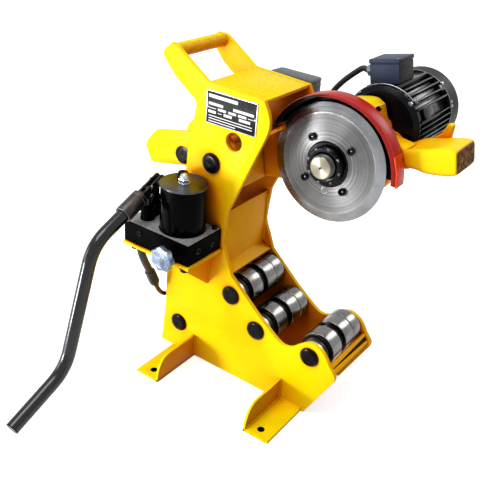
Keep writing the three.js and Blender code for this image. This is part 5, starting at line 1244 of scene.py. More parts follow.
def add_lid():
    low, high = node_box("tank_lid")
    rim = (high.x - low.x) / 2
    stand = move((TANK_AXIS.x, TANK_AXIS.y, low.z)) @ ALONG_Z
    turn_piece("tank_lid_disc", "lid", "frame", stand, [
        (0, 0), (rim - 0.2, 0), (rim, 0.5, 0.4), (rim, 3, 0.7), (rim - 1.4, 3, 0.5), (rim - 1.9, 2.6, 0.3),
        (rim - 8, 2.7), (0, 2.9),
    ], "dark_steel", "tank_lid", steps=128)
    # A bright ring on the lid's rim: painted highlight
    turn_piece("tank_lid_rim_highlight", "screw", "frame", stand, [
        (rim - 0.9, 3.02), (rim - 0.15, 2.75, 0.2), (rim - 0.1, 2.2), (rim - 0.9, 2.2),
    ], "dark_steel", steps=128, closed=True)
    share = 0.42 * TANK_RADIUS
    cap = Piece("breather_cap", "box_black", "frame",
                move((TANK_AXIS.x - share, TANK_AXIS.y + share, low.z)) @ ALONG_Z)
    cap.lathe([
        (0, 2.9), (5.5, 2.9), (5.5, 5, 0.4), (8.5, 5.6, 0.7), (8.5, 12.4, 1.2), (6.5, 13, 0.6), (0, 13),
    ], steps=48)
    for ridge in circle(0, 0, 8.3, 24):
        cap.sweep([(ridge.x, 6.6, ridge.y), (ridge.x, 11.4, ridge.y)], 0.4, 6)
    cap.done("dark_steel")
    nut = Piece("acorn_nut_turned", "chrome", "frame", stand)
    nut.lathe([(0, 3), (10.4, 3, 0.3), (10.4, 4.6, 0.5), (0, 4.6)], steps=48)
    nut.hexagon(17, 4.6, 4.6 + 7.2, bevel=0.9)
    dome = 7.9
    crown = arc(dome, 0, math.pi / 2, 12, z=12.3)
    nut.lathe([(0, 9.3), (dome, 9.3), *crown[:-1], (0, crown[-1][1])], steps=48)
    nut.done("bright_chrome", "acorn_nut")


FORK_HALF_GAP = 3.75
FORK_BAR = 3.5
FORK_HALF_WIDTH = FORK_HALF_GAP + FORK_BAR
FORK_HALF_DEPTH = 8.5
FORK_TAIL = 17
FORK_ROOT = -32
SOCKET_START = 39.6
SOCKET_LENGTH = 50
SOCKET_RADIUS = 15.5
TUBE_RADIUS = 12
TUBE_INSERT = 30
TANG_HALF = 3.25
EAR_HALF = 7
TONGUE_HALF = 6.7
PISTON_RADIUS = 7
BARREL_RADIUS = 13
BARREL_HEIGHT = 27


def tang(piece, half, foot, pin, bevel):
    """An upright tongue of a given half width, round at the top about its pin."""
    crown = arc(half, 0, math.pi, 12, z=pin)[1:-1]
    outline = [(-half, foot), (half, foot), (half, pin), *crown, (-half, pin)]
    piece.plate(outline, -TANG_HALF, TANG_HALF, bevel, matrix=upright())


def add_barrel():
    base = BLOCK_HIGH.z + FIT
    top = LEVER.z - base
    casting = Piece("pump_barrel_cast", "satin_black", "frame", move((LEVER.x, LEVER.y, base)))
    away = PISTON_AXIS.y - LEVER.y
    half, r, bore = EAR_HALF, BARREL_RADIUS, PISTON_RADIUS + FIT
    casting.lathe([
        (bore, 1), (r, 0), (r, 3, 0.5), (r - 0.6, 4, 0.5), (r - 0.6, 24, 0.5), (r, 24.6, 0.3),
        (r, BARREL_HEIGHT, 1), (bore, BARREL_HEIGHT, 0.6),
    ], move((0, away, 0)) @ ALONG_Z, closed=True)
    casting.block((-half, away, 0), (half, half, 3), 0.6)
    casting.block((-half, -half, 0), (half, half, top - 23), 1.2)
    tang(casting, half, top - 25, top, 0.6)
    casting.done("black_paint", "pump_barrel")
    add_piston()


def add_piston():
    """The piston with its tongue, the pin that links it to the lever and the pin's clip."""
    bottom, pin, r = PISTON_LOW.z, PISTON_PIN.z, PISTON_RADIUS
    piston = Piece("pump_piston_turned", "roller_dark", "piston", move((LEVER.x, PISTON_AXIS.y, 0)))
    shank = [(0, bottom), (r, bottom), (r, pin - 15, 0.6), (4.6, pin - 14, 0.5), (0, pin - 14)]
    piston.lathe(shank, ALONG_Z, 48)
    tang(piston, TONGUE_HALF, pin - 16, pin, 0.5)
    piston.done("roller_steel", "pump_piston")
    half = FORK_HALF_WIDTH
    turn_piece("piston_link_pin", "black_oxide", "piston", move((LEVER.x, PISTON_PIN.y, pin)) @ ALONG_X, [
        (0, -half - 3.6), (5.6, -half - 3.6, 1), (5.8, -half - 0.2, 0.3), (4, -half - 0.1),
        (4, half + 3, 0.5), (0, half + 3),
    ], "black_steel", steps=36)
    clip = Piece("cotter_clip", "screw", "piston", move((LEVER.x + half + 1.8, PISTON_PIN.y, pin)))
    loop = [(0, 0, 5.2), (0.4, -1.6, 8.4), (0.4, 0.2, 10.6), (0.4, 2, 8.4), (0, 0.5, 5.2), (0, 0.5, -6),
            (1.4, 3.5, -10)]
    for wire in (loop, [(0, -0.6, 5), (0, -0.6, -5.5), (1.2, -4, -9.5)]):
        clip.sweep(spline(wire, 8), 0.75, 10)
    clip.done("bright_chrome")


def add_lever():
    half, gap, deep = FORK_HALF_WIDTH, FORK_HALF_GAP, FORK_HALF_DEPTH
    fork = Piece("lever_fork_welded", "fork", "lever", LEVER_PLACE)
    end = SOCKET_START + 4
    tail = [(FORK_TAIL - 6 + 0.7 * x, y) for x, y in arc(deep, -math.pi / 2, math.pi / 2, 14)]
    for x in (gap, -half):
        fork.plate([*tail, (-end, deep), (-end, -deep)], 0, FORK_BAR, 0.6, matrix=upright(x))
    throat = arc(gap, 0, -math.pi, 12, z=FORK_ROOT)
    root = [(-half, -end), (half, -end), (half, FORK_ROOT), *throat, (-half, FORK_ROOT)]
    fork.plate(root, -deep, deep, 0.5, matrix=LAID_FLAT)
    fork.lathe([(0, -half - 4), (6, -half - 4, 1.2), (6.3, -half, 0.3), (0, -half)], ALONG_X, 36)
    bolt = [(4, -half), (4, half), (6.3, half + 0.1, 0.3), (6, half + 4, 1.2), (0, half + 4)]
    fork.lathe(bolt, ALONG_X, 36)
    fork.done("dark_steel", "lever_fork")
    add_lever_socket()


def add_lever_socket():
    start, stop = -SOCKET_START, -SOCKET_START - SOCKET_LENGTH
    r = SOCKET_RADIUS
    turn_piece("lever_socket", "socket", "lever", LEVER_PLACE, [
        (0, start), (r - 2.5, start, 1.5), (r - 0.2, start - 2, 1), (r, start - 9),
        (r - 0.7, start - 9.6, 0.2), (r - 0.7, start - 11, 0.2), (r, start - 11.6, 0.2),
        (r, stop + 1.5, 0.8), (r - 1.2, stop, 0.5),
        (TUBE_RADIUS + FIT, stop, 0.3), (TUBE_RADIUS + FIT, stop + TUBE_INSERT), (0, stop + TUBE_INSERT),
    ], "dark_steel")
    # A black disc where the cross hole is: painted shade, the hole itself is not cut
    hole = [(0, -r - 0.12), (2.6, -r - 0.12, 0.1), (2.9, -r + 0.8), (0, -r + 0.8)]
    across = move((0, stop + 13, 0)) @ around(35) @ ALONG_X
    turn_piece("socket_cross_hole_shade", "box_black", "lever", LEVER_PLACE, hole, "dark_steel",
               matrix=across, steps=28)
    turn_piece("socket_mouth_edge", "slot_grey", "lever", LEVER_PLACE, [
        (r - 1.3, stop - 0.05), (r - 0.35, stop + 0.7, 0.2), (r - 0.5, stop + 1.3), (r - 1.5, stop + 0.6),
    ], "dark_steel", closed=True)
    add_lever_tube(stop)


# The lever tube's runs up to each bend, and how far the last two lean from level
TUBE_RUNS = (125.5, 223.4, 128.4)
TUBE_LEANS = (71.3, 24.2)
TUBE_BEND = 34


def add_lever_tube(socket_end):
    leans = [math.radians(lean) - LEVER_ANGLE for lean in TUBE_LEANS]
    middle, last = [Vector((0, -math.cos(lean), -math.sin(lean))) for lean in leans]
    knee = Vector((0, -SOCKET_START - TUBE_RUNS[0], 0))
    ankle = knee + TUBE_RUNS[1] * middle
    tip = ankle + TUBE_RUNS[2] * last
    start = (0, socket_end + TUBE_INSERT, 0)
    path = bent_path([start, knee, ankle, tip - last * 0.6], (TUBE_BEND, TUBE_BEND), 16)
    tube = Piece("lever_tube_bent", "tube_black", "lever", LEVER_PLACE)
    tube.sweep(even_path(path, 12), TUBE_RADIUS, 40).done("black_paint", "lever_tube")
    turn_piece("lever_tube_end", "black_oxide", "lever", LEVER_PLACE, [
        (TUBE_RADIUS, 2), (TUBE_RADIUS, 0, 0.5), (TUBE_RADIUS - 2.2, 0, 0.5), (TUBE_RADIUS - 2.4, 1.4),
        (0, 1.4), (0, 2),
    ], "black_paint", matrix=move(tip) @ from_y_to(-last), steps=40)


KNOB_RADIUS = 23
KNOB_LOBES = 7
KNOB_WAVE = 3
KNOB_THICKNESS = 13


def add_knob():
    face = node_box("release_knob")[0].y - KNOB.y
    back = face + KNOB_THICKNESS
    stand = move(KNOB)
    points = []
    for i in range(KNOB_LOBES * 12):
        angle = 2 * math.pi * i / (KNOB_LOBES * 12)
        radius = KNOB_RADIUS + KNOB_WAVE * (math.cos(KNOB_LOBES * angle) - 1) / 2
        points.append((radius * math.cos(angle), radius * math.sin(angle)))
    knob = Piece("release_knob_cast", "zinc", "knob", stand)
    knob.plate(points, face + 0.8, back, 2.6, bevel_steps=5)
    knob.lathe([(16.5, face + 1.5), (15.6, face, 0.6), (13.6, face, 0.6), (12.6, face + 1.2)], closed=True)
    knob.lathe([(0, face + 0.5), (5, face + 0.5, 0.4), (5.4, face + 1.2), (0, face + 1.2)])
    knob.lathe([(0, back - 1), (11, back - 1), (9.5, back + 3.4, 1), (0, back + 3.4)])
    knob.done("zinc_knob", "release_knob")
    stem = [(0, back + 2), (6, back + 2), (6, 18.5, 0.8), (0, 18.5)]
    turn_piece("release_stem", "black_oxide", "knob", stand, stem, "black_steel", steps=40)


# Cylinder, its elbow and the hose
TAIL_PIN = ARM @ Vector((-70.4, 0, 6.5))
CYLINDER_LEAN = math.atan2(TAIL_PIN.x - CYLINDER.x, TAIL_PIN.z - CYLINDER.z)
CYLINDER_PLACE = move(CYLINDER) @ Matrix.Rotation(CYLINDER_LEAN, 4, "Y")
CYLINDER_RADIUS = 34
CYLINDER_BASE = -22
CYLINDER_TOP = 190
HOSE_LEAN = math.radians(24.3)
HOSE_DIRECTION = Vector((0, -math.sin(HOSE_LEAN), math.cos(HOSE_LEAN)))
PORT_HEIGHT = 38
ELBOW_CORNER = Vector((-CYLINDER_RADIUS - 11, -70, PORT_HEIGHT))
FERRULE_CENTRE = ELBOW_CORNER + 64 * HOSE_DIRECTION
FERRULE_HALF = 19
HOSE_RADIUS = 7.25

CYLINDER_MOUTH = 21
ROD_RADIUS = 16
ROD_BORE = ROD_RADIUS + FIT
EYE_BORE = 13
EYE_RADIUS = 25
EYE_HALF = 20
ELBOW_RADIUS = 4.5
ELBOW_BENDS = (10, 34)
FERRULE_RADIUS = 10
FERRULE_GROOVES = (-9, -2.5, 4, 10.5)

# How far the hose runs on in line with the ferrule, and straight down from the pump block
HOSE_PULLS = (28, 38)


def add_cylinder():
    r, top = CYLINDER_RADIUS, CYLINDER_TOP
    turn_piece("cylinder_body", "black", "cylinder", CYLINDER_PLACE, [
        (0, CYLINDER_BASE), (r - 2, CYLINDER_BASE, 1), (r, CYLINDER_BASE + 2, 1), (r, top - 26, 0.5),
        (r - 1, top - 25, 0.4), (r - 1, top - 22, 0.4), (r, top - 21, 0.4), (r, top - 1.5, 1),
        (r - 2, top, 1), (CYLINDER_MOUTH, top, 0.5), (CYLINDER_MOUTH - 1, top - 3, 0.5),
        (ROD_BORE, top - 3), (ROD_BORE, top - 16), (0, top - 16),
    ], "black_paint", "cylinder_barrel", matrix=ALONG_Z, steps=96)
    span = math.hypot(TAIL_PIN.x - CYLINDER.x, TAIL_PIN.z - CYLINDER.z)
    shaft = [(0, top - 30), (ROD_RADIUS, top - 30), (ROD_RADIUS, span - 18), (0, span - 18)]
    turn_piece("cylinder_rod_ground", "chrome", "rod", CYLINDER_PLACE, shaft, "bright_chrome", "cylinder_rod",
               matrix=ALONG_Z)
    eye = Piece("rod_eye", "black", "rod", CYLINDER_PLACE)
    half = EYE_HALF
    ring = [(EYE_BORE, -half, 1), (EYE_RADIUS, -half, 1.5), (EYE_RADIUS, half, 1.5), (EYE_BORE, half, 1)]
    eye.lathe(ring, move((0, 0, span)), closed=True)
    eye.lathe([(0, span - 34), (19, span - 34, 1.5), (19, span - 24), (0, span - 24)], ALONG_Z)
    eye.done("black_steel")
    add_elbow()


def from_y_to(direction):
    """The turn that takes a shape made along Y to lie along a direction."""
    return direction.rotation_difference(Vector((0, 1, 0))).inverted().to_matrix().to_4x4()


def add_elbow():
    r, height = CYLINDER_RADIUS, PORT_HEIGHT
    corners = [(-r - FIT, 0, height), (-r - 11, 0, height), ELBOW_CORNER, FERRULE_CENTRE]
    elbow = Piece("hose_elbow_pipe", "copper", "cylinder", CYLINDER_PLACE)
    elbow.sweep(bent_path(corners, ELBOW_BENDS, 14), ELBOW_RADIUS, 28).done("copper_fitting", "hose_elbow")
    fittings = Piece("hose_fittings", "olive", "cylinder", CYLINDER_PLACE)
    fittings.hexagon(14, 0, 6, move((-r - 0.2, 0, height)) @ FACING_BACK)
    sleeve = move(FERRULE_CENTRE) @ from_y_to(HOSE_DIRECTION)
    start, stop = -FERRULE_HALF + 6, FERRULE_HALF
    grooves = []
    full, waist = FERRULE_RADIUS, FERRULE_RADIUS - 0.9
    for at in FERRULE_GROOVES:
        grooves += [(full, at, 0.4), (waist, at + 0.9, 0.3), (waist, at + 1.6, 0.3), (full, at + 2.5, 0.4)]
    fittings.lathe([
        (0, start), (8.6, start), (8.6, -13.5, 0.4), (full, -12, 0.8), *grooves, (full, stop - 1.6, 0.8),
        (8.4, stop, 0.6), (0, stop),
    ], sleeve, 56)
    fittings.hexagon(15, -FERRULE_HALF, start + 0.5, sleeve, 0.6)
    fittings.done("copper_fitting")


def add_hose():
    along = Matrix.Rotation(CYLINDER_LEAN, 3, "Y") @ HOSE_DIRECTION
    tip = CYLINDER_PLACE @ (FERRULE_CENTRE + HOSE_DIRECTION * (FERRULE_HALF - 0.5))
    top = Vector((BLOCK_LOW.x + 13, BLOCK_LOW.y + 26, BLOCK_LOW.z - FIT))
    points = bezier(tip, tip + along * HOSE_PULLS[0], top - Vector((0, 0, HOSE_PULLS[1])), top, 48)
    obj = Piece("hydraulic_hose_bent", "hose", None).sweep(points, HOSE_RADIUS, 32).done(
        "hose_rubber", "hydraulic_hose")
    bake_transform(obj)
    turn_piece("hose_top_collar", "olive", "frame", move((top.x, top.y, top.z - 8)) @ ALONG_Z, [
        (0, -12), (8.6, -12, 0.6), (9.4, -10.5, 0.6), (9.4, 0), (0, 0),
    ], "copper_fitting", steps=48)


# Swinging arm
def add_arm():
    dressed("swing_arm_cheeks", "yellow", "arm", "swing_arm", "yellow_paint", 1.0)
    half = INNER - 1.2
    head = half + 0.75
    end = [
        (0, head - 0.4), (1, head - 0.4), (1.4, head, 0.2), (11, head, 0.3), (12.4, head - 0.3, 0.3),
        (16.5, head - 0.7, 0.3), (16.5, half - 0.2), (10, half - 0.3),
    ]
    turn_piece("tail_pin_turned", "black_oxide", "arm", move(TAIL_PIN), [*mirrored(end), *reversed(end)],
               "black_steel", "tail_pin", steps=56)


WHEEL_REACH = 190.2
WHEEL_UP = -3.7
NECK_REACH = 45.6
CASE_FRONT = 125.5
CASE_HEIGHT = 94
CASE_NEAR, CASE_FAR = 14, 54
HANDLE_AHEAD = 99.4
HANDLE_LENGTH = 104.4
HANDLE_HEIGHT = 46
HANDLE_NEAR, HANDLE_FAR = 12, 90

# The case's outline: along is a share of its reach from the wheel's axis, up a share of its height
CASE_SHARES = [
    (-1, -0.4755), (-1, 0.3237), (-0.8092, 0.4249), (-0.6447, 0.5099), (-0.1842, 0.7993),
]
CASE_CROWN = [(-0.1842, 0.7993), (-0.0921, 0.9207), (0.1667, 0.9996), (0.4697, 0.9996), (0.5985, 0.8903)]
CASE_NOSE = [
    (0.6212, 0.688), (0.6697, 0.4047), (0.9091, 0.2833), (1, 0.2428), (1, -0.1012), (0.8485, -0.1214),
]
CASE_BELLY = [(0.8485, -0.1214), (0.6515, -0.4755), (0.3788, -0.6981), (0, -0.8296), (-0.2895, -0.7284),
              (-0.5263, -0.5058)]


def case_place(share):
    along, up = share
    reach = WHEEL_REACH - NECK_REACH if along < 0 else CASE_FRONT
    return Vector((WHEEL_REACH + along * reach, up * CASE_HEIGHT))


def case_outline():
    crown = spline([(*case_place(s), 0) for s in CASE_CROWN], 6)
    belly = spline([(*case_place(s), 0) for s in CASE_BELLY], 6)
    points = [case_place(s) for s in CASE_SHARES[:-1]]
    points += [Vector(p[:2]) for p in crown]
    points += [case_place(s) for s in CASE_NOSE[:-1]]
    points += [Vector(p[:2]) for p in belly]
    return points


# The case's screws, ahead of the wheel's axis and above the arm's
CASE_SCREWS = ((80.5, 82.8), (6, 84), (-50, -58), (40, -56))
CASE_HUB = (24, 40)


def add_case():
    case = Piece("gear_case_cast", "cast_yellow", "arm", ARM)
    case.plate([tuple(p) for p in case_outline()], CASE_NEAR, CASE_FAR, 6, bevel_steps=6)
    bore, r = CASE_HUB
    hub = [(bore, CASE_NEAR + 3), (r, CASE_NEAR + 3), (r - 2, CASE_NEAR - 2, 1), (bore, CASE_NEAR - 2, 0.5)]
    case.lathe(hub, move((WHEEL_REACH, 0, WHEEL_UP)), closed=True)
    case.done("yellow_paint", "gear_case")
    add_handle()
    dressed("gear_cover_plate", "yellow", "arm", "gear_case_cover", "yellow_paint", 0.8)
    screws = Piece("gear_case_screws", "black_oxide", "arm", ARM)
    for ahead, up in CASE_SCREWS:
        place = move((WHEEL_REACH + ahead, CASE_NEAR + 1.5, up)) @ FACING_NEAR
        socket_screw(screws, place, 4.4, 3.2)
    screws.done("black_steel")


# The handle's profile as (along, low, high) shares of its length and height
HANDLE_SECTIONS = [
    (-0.06, -0.30, 0.36), (0.10, -0.24, 0.43), (0.2075, -0.19, 0.50), (0.37, -0.235, 0.55),
    (0.5094, -0.345, 0.575), (0.66, -0.37, 0.60), (0.81, -0.368, 0.61), (0.90, -0.345, 0.60),
    (0.965, -0.30, 0.565), (1.0, -0.27, 0.52),
]

# The rib on the handle's far side as shares of its length and height, with each corner's fillet
HANDLE_RIB = [
    (0.36, 0.2, 0), (0.6227, 0.2, 0), (0.7246, 1.022, 6), (0.63, 1.063, 4), (0.53, 0.72, 8), (0.36, 0.5, 0),
]
HANDLE_SIDES = 64


def handle_reach(along):
    return WHEEL_REACH + HANDLE_AHEAD + along * HANDLE_LENGTH


def add_handle():
    """The cast handle, lofted from rounded sections, with a dished top and a bare end."""
    handle = Piece("cast_handle", "cast_yellow", "arm", ARM)
    profile = spline(HANDLE_SECTIONS, 5)
    bm = bmesh.new()
    rings = []
    last = len(profile) - 1
    for k, (along, low, high) in enumerate(profile):
        shrink = 0 if k < last - 3 else 1.6 * (1 - math.cos(math.pi / 2 * (k - last + 3) / 3))
        ring = [handle_point(i / HANDLE_SIDES, along, low, high, shrink) for i in range(HANDLE_SIDES)]
        rings.append([bm.verts.new((handle_reach(along), y, z)) for y, z in ring])
    bridge(bm, rings)
    bm.faces.new(rings[0])
    bm.faces.new(rings[-1][::-1])
    handle.merge(bm)
    rib = [(handle_reach(along), up * HANDLE_HEIGHT, fillet) for along, up, fillet in HANDLE_RIB]
    handle.plate(rib, HANDLE_FAR - 12, HANDLE_FAR, 3, bevel_steps=4)
    handle.done("yellow_paint")
    add_handle_end(profile[-1])


def handle_point(share, along, low, high, shrink):
    """Y and Z of a point round the handle's section: a rounded box whose top is dished."""
    angle = 2 * math.pi * share
    half_y = (HANDLE_FAR - HANDLE_NEAR) / 2 - shrink
    half_z = (high - low) * HANDLE_HEIGHT / 2 - shrink
    middle_z = (high + low) * HANDLE_HEIGHT / 2
    power = 0.36 - 0.14 * max(0.0, min(1.0, (along - 0.6) / 0.4))
    c, s = math.cos(angle), math.sin(angle)
    y = half_y * math.copysign(abs(c) ** power, c)
    z = half_z * math.copysign(abs(s) ** power, s)
    if z > 0:
        reach = max(0.0, 1 - ((along - 0.42) / 0.36) ** 2)
        hollow = max(0.0, 1 - ((y + 13) / 22) ** 2)
        z -= 5.5 * reach * hollow * (z / half_z) ** 3
    return (HANDLE_FAR + HANDLE_NEAR) / 2 + y, middle_z + z


# The handle's bare end: its rings, how far the first and the others stand ahead, and the lumps' size
END_LEVELS = 10
END_ROOT, END_FACE = -2.2, 1.1
END_LUMP = 0.35


def add_handle_end(section):
    """The handle's sawn-off runner: a rough bare face with seeded lumps."""
    random.seed(11)
    along, low, high = section
    end = Piece("handle_bare_end", "casting", "arm", ARM)
    bm = bmesh.new()
    centre_y, centre_z = (HANDLE_FAR + HANDLE_NEAR) / 2, (low + high) * HANDLE_HEIGHT / 2
    rings = []
    for k in range(END_LEVELS):
        scale = 1.0 - 0.95 * k / END_LEVELS
        ring = []
        for i in range(HANDLE_SIDES):
            y, z = handle_point(i / HANDLE_SIDES, along, low, high, 0.2)
            lift = END_FACE + random.uniform(-END_LUMP, END_LUMP) if k else END_ROOT
            y, z = centre_y + (y - centre_y) * scale, centre_z + (z - centre_z) * scale
            ring.append(bm.verts.new((handle_reach(along) + lift, y, z)))
        rings.append(ring)
    bridge(bm, rings)
    bm.faces.new(rings[-1])
    end.merge(bm).done("yellow_paint", smooth=60)


# Cutting head. The wheel is flat from its bore out to the face radius, and bevelled from there to its edge
WHEEL_NEAR, WHEEL_FAR = -10, 0
WHEEL_BORE = 20.8
WHEEL_FACE = 84
WHEEL_EDGE = 100
SCREW_CIRCLE = 50.4
SCREW_DEGREES = (29, 119, 209, 299)
DRIVE_PIN_CIRCLE = 46
DRIVE_PIN_DEGREES = -102


def add_cutter():
    near, far, face, edge = WHEEL_NEAR, WHEEL_FAR, WHEEL_FACE, WHEEL_EDGE
    turn_piece("cutting_wheel_face", "wheel_face", "cutter", CUTTER, [
        (WHEEL_BORE, near), (face - 0.2, near), (face + 0.3, near + 0.35), (face + 0.3, far - 0.35),
        (face - 0.2, far), (WHEEL_BORE, far),
    ], "wheel_steel", "cutting_wheel", steps=160, closed=True)
    middle = (near + far) / 2
    turn_piece("cutting_wheel_bevel", "wheel_bevel", "cutter", CUTTER, [
        (face, near + 0.35), (face + 0.6, near + 0.5), (edge, middle - 0.35, 0.3), (edge, middle + 0.35, 0.3),
        (face + 0.6, far - 0.5), (face, far - 0.35),
    ], "wheel_steel", steps=160, closed=True)
    # A bright ring round the face's edge: painted highlight
    turn_piece("wheel_face_edge_highlight", "screw", "cutter", CUTTER, [
        (face - 0.5, near - 0.05), (face + 0.4, near + 0.05, 0.1), (face + 0.5, near + 0.45),
        (face - 0.5, near + 0.45),
    ], "wheel_steel", steps=160, closed=True)
    holders = Piece("wheel_screws", "black_oxide", "cutter", CUTTER)
    # Chrome dots in the screws' sockets: painted glints
    glints = Piece("wheel_screw_glints", "chrome", "cutter", CUTTER)
    for degrees in SCREW_DEGREES:
        at = on_wheel(SCREW_CIRCLE, degrees)
        socket_screw(holders, at, 6.5, 5)
        glints.lathe([(0, 1.9), (1, 1.9, 0.3), (1, 1.2), (0, 1.2)], at, 16)
    holders.done("black_steel")
    glints.done("bright_chrome")
    at = on_wheel(DRIVE_PIN_CIRCLE, DRIVE_PIN_DEGREES)
    pin = [(0, 0.6), (4.6, 0.6, 0.5), (5, 0), (5, -1), (0, -1)]
    turn_piece("drive_pin", "pin_grey", "cutter", CUTTER, pin, "wheel_steel", matrix=at, steps=32)
    ring = [(4.6, -0.5), (6, -0.5), (5.8, 0.7, 0.2), (4.9, 0.7, 0.2)]
    turn_piece("drive_pin_ring", "screw", "cutter", CUTTER, ring, "wheel_steel",
               matrix=at, steps=32, closed=True)
    add_lock_nut()
    add_spindle()


def on_wheel(radius, degrees):
    """A place on the wheel's near face, for something that stands out of it."""
    angle = math.radians(degrees)
    return move((radius * math.cos(angle), WHEEL_NEAR, radius * math.sin(angle))) @ FACING_NEAR


NUT_RADIUS = 33
NUT_LENGTH = 11
WASHER_RADIUS = 38.5
WASHER_TAB_TURNS = (0.2, 2.9)


def add_lock_nut():
    face, r, washer_r = WHEEL_NEAR, NUT_RADIUS, WASHER_RADIUS
    back = face - FIT - 3
    front = back - NUT_LENGTH
    turn_piece("lock_nut_turned", "gloss_oxide", "cutter", CUTTER, [
        (WHEEL_BORE, front + 0.8), (WHEEL_BORE + 3.4, front, 0.4), (r - 3.6, front, 0.8),
        (r - 0.8, front + 2.6, 1), (r - 0.8, back - 1, 0.5), (r - 1.4, back), (WHEEL_BORE, back),
    ], "black_steel", "lock_nut", steps=96, closed=True)
    slots = Piece("lock_nut_slots", "slot_grey", "cutter", CUTTER)
    for k in range(8):
        slots.block((r - 5.4, front - 0.12, -2.6), (r - 1.9, front + 1.5, 2.6), 0.35, around(45 * k + 22.5))
    slots.done("black_steel")
    washer = Piece("tab_washer_stamped", "gloss_oxide", "cutter", CUTTER)
    washer.lathe([
        (WHEEL_BORE, face - 3.2), (washer_r - 2.2, face - 3.2, 0.8), (washer_r, face - 1.6, 0.6),
        (washer_r, face - FIT, 0.2), (WHEEL_BORE, face - FIT),
    ], steps=96, closed=True)
    for turn in WASHER_TAB_TURNS:
        tab = Matrix.Rotation(turn, 4, "Y")
        washer.block((r - 4, face - 5.2, -3), (washer_r - 0.6, face - 2, 3), 0.6, tab)
    washer.done("black_steel")
    # A bright ring on the washer's rim: painted highlight
    turn_piece("tab_washer_rim_highlight", "screw", "cutter", CUTTER, [
        (washer_r - 0.2, face - 1.5), (washer_r + 0.35, face - 1.2, 0.2), (washer_r + 0.35, face - 0.5),
        (washer_r - 0.2, face - 0.4),
    ], "bright_chrome", steps=96, closed=True)


NOSE_RADIUS = 20.5
THREAD_PITCH = 1.5
THREAD_END = -13.5
BACK_FLANGE_RADIUS = 65
BACK_FLANGE_END = 6.9
SHANK_RADIUS = 22


def add_spindle():
    low, high = node_box("spindle")
    nose, end = NOSE_RADIUS, low.y
    turn_piece("spindle_nose", "spindle", "cutter", CUTTER, [
        (0, end + 1.6), (0.9, end + 1.2), (1.9, end + 0.15, 0.2), (nose - 3.2, end, 0.5),
        (nose - 1.9, end + 1.1, 0.3), (nose - 1.9, end + 2.4), (0, end + 2.4),
    ], "spindle_steel")
    # A black cup in the nose's centre hole: painted shade
    turn_piece("spindle_centre_shade", "box_black", "cutter", CUTTER, [
        (0, end + 1.1), (1.0, end + 0.6), (1.5, end - 0.05, 0.2), (1.9, end - 0.05, 0.1), (1.9, end + 1.3),
        (0, end + 1.6),
    ], "spindle_steel", steps=32)
    crests = [(nose - 2.2, end + 2.2)]
    at = end + 2.6
    while at < THREAD_END:
        crests += [(nose - 1.1, at), (nose - 0.1, at + THREAD_PITCH / 2)]
        at += THREAD_PITCH
    flange, back, shank = BACK_FLANGE_RADIUS, BACK_FLANGE_END, SHANK_RADIUS
    turn_piece("spindle_thread", "slot_grey", "cutter", CUTTER, [
        (0, end + 2.3), *crests, (nose, THREAD_END + 0.9), (nose, FIT), (flange, FIT, 0.5),
        (flange, back, 0.5), (shank, back), (shank, high.y - 1, 0.6), (0, high.y),
    ], "spindle_steel", "spindle", steps=96)


# The wheel guard, its turned-in flange, and the black sheets inside it and on its near face. Angles are in
# radians
GUARD_RADIUS = 119
GUARD_INNER = GUARD_RADIUS - 2.5
GUARD_FRONT, GUARD_BACK = -18, 10
GUARD_START, GUARD_END = math.radians(-11), math.radians(146)
BLACK_START, BLACK_END = GUARD_START + 0.01, GUARD_END - 0.01
GUARD_PLACE = CUTTER @ move((4, 0, -4.5))
GUARD_PAD = 68
GUARD_CUTOUT = 66
FLANGE_START, FLANGE_END = math.radians(-10), math.radians(112)
FLANGE_DEPTH = 9.5
BAND_START = math.radians(86)
BAND_DEPTH = 8.5
CLIP_START, CLIP_END = math.radians(-10.4), math.radians(13)


def crescent(start, end, steps, depth):
    """A strip inside the guard's radius. Depth is a function of the share of the way from start to end."""
    inner = []
    for k in range(steps, -1, -1):
        share = k / steps
        angle = start + (end - start) * share
        radius = GUARD_RADIUS - depth(share)
        inner.append((radius * math.cos(angle), radius * math.sin(angle)))
    return inner


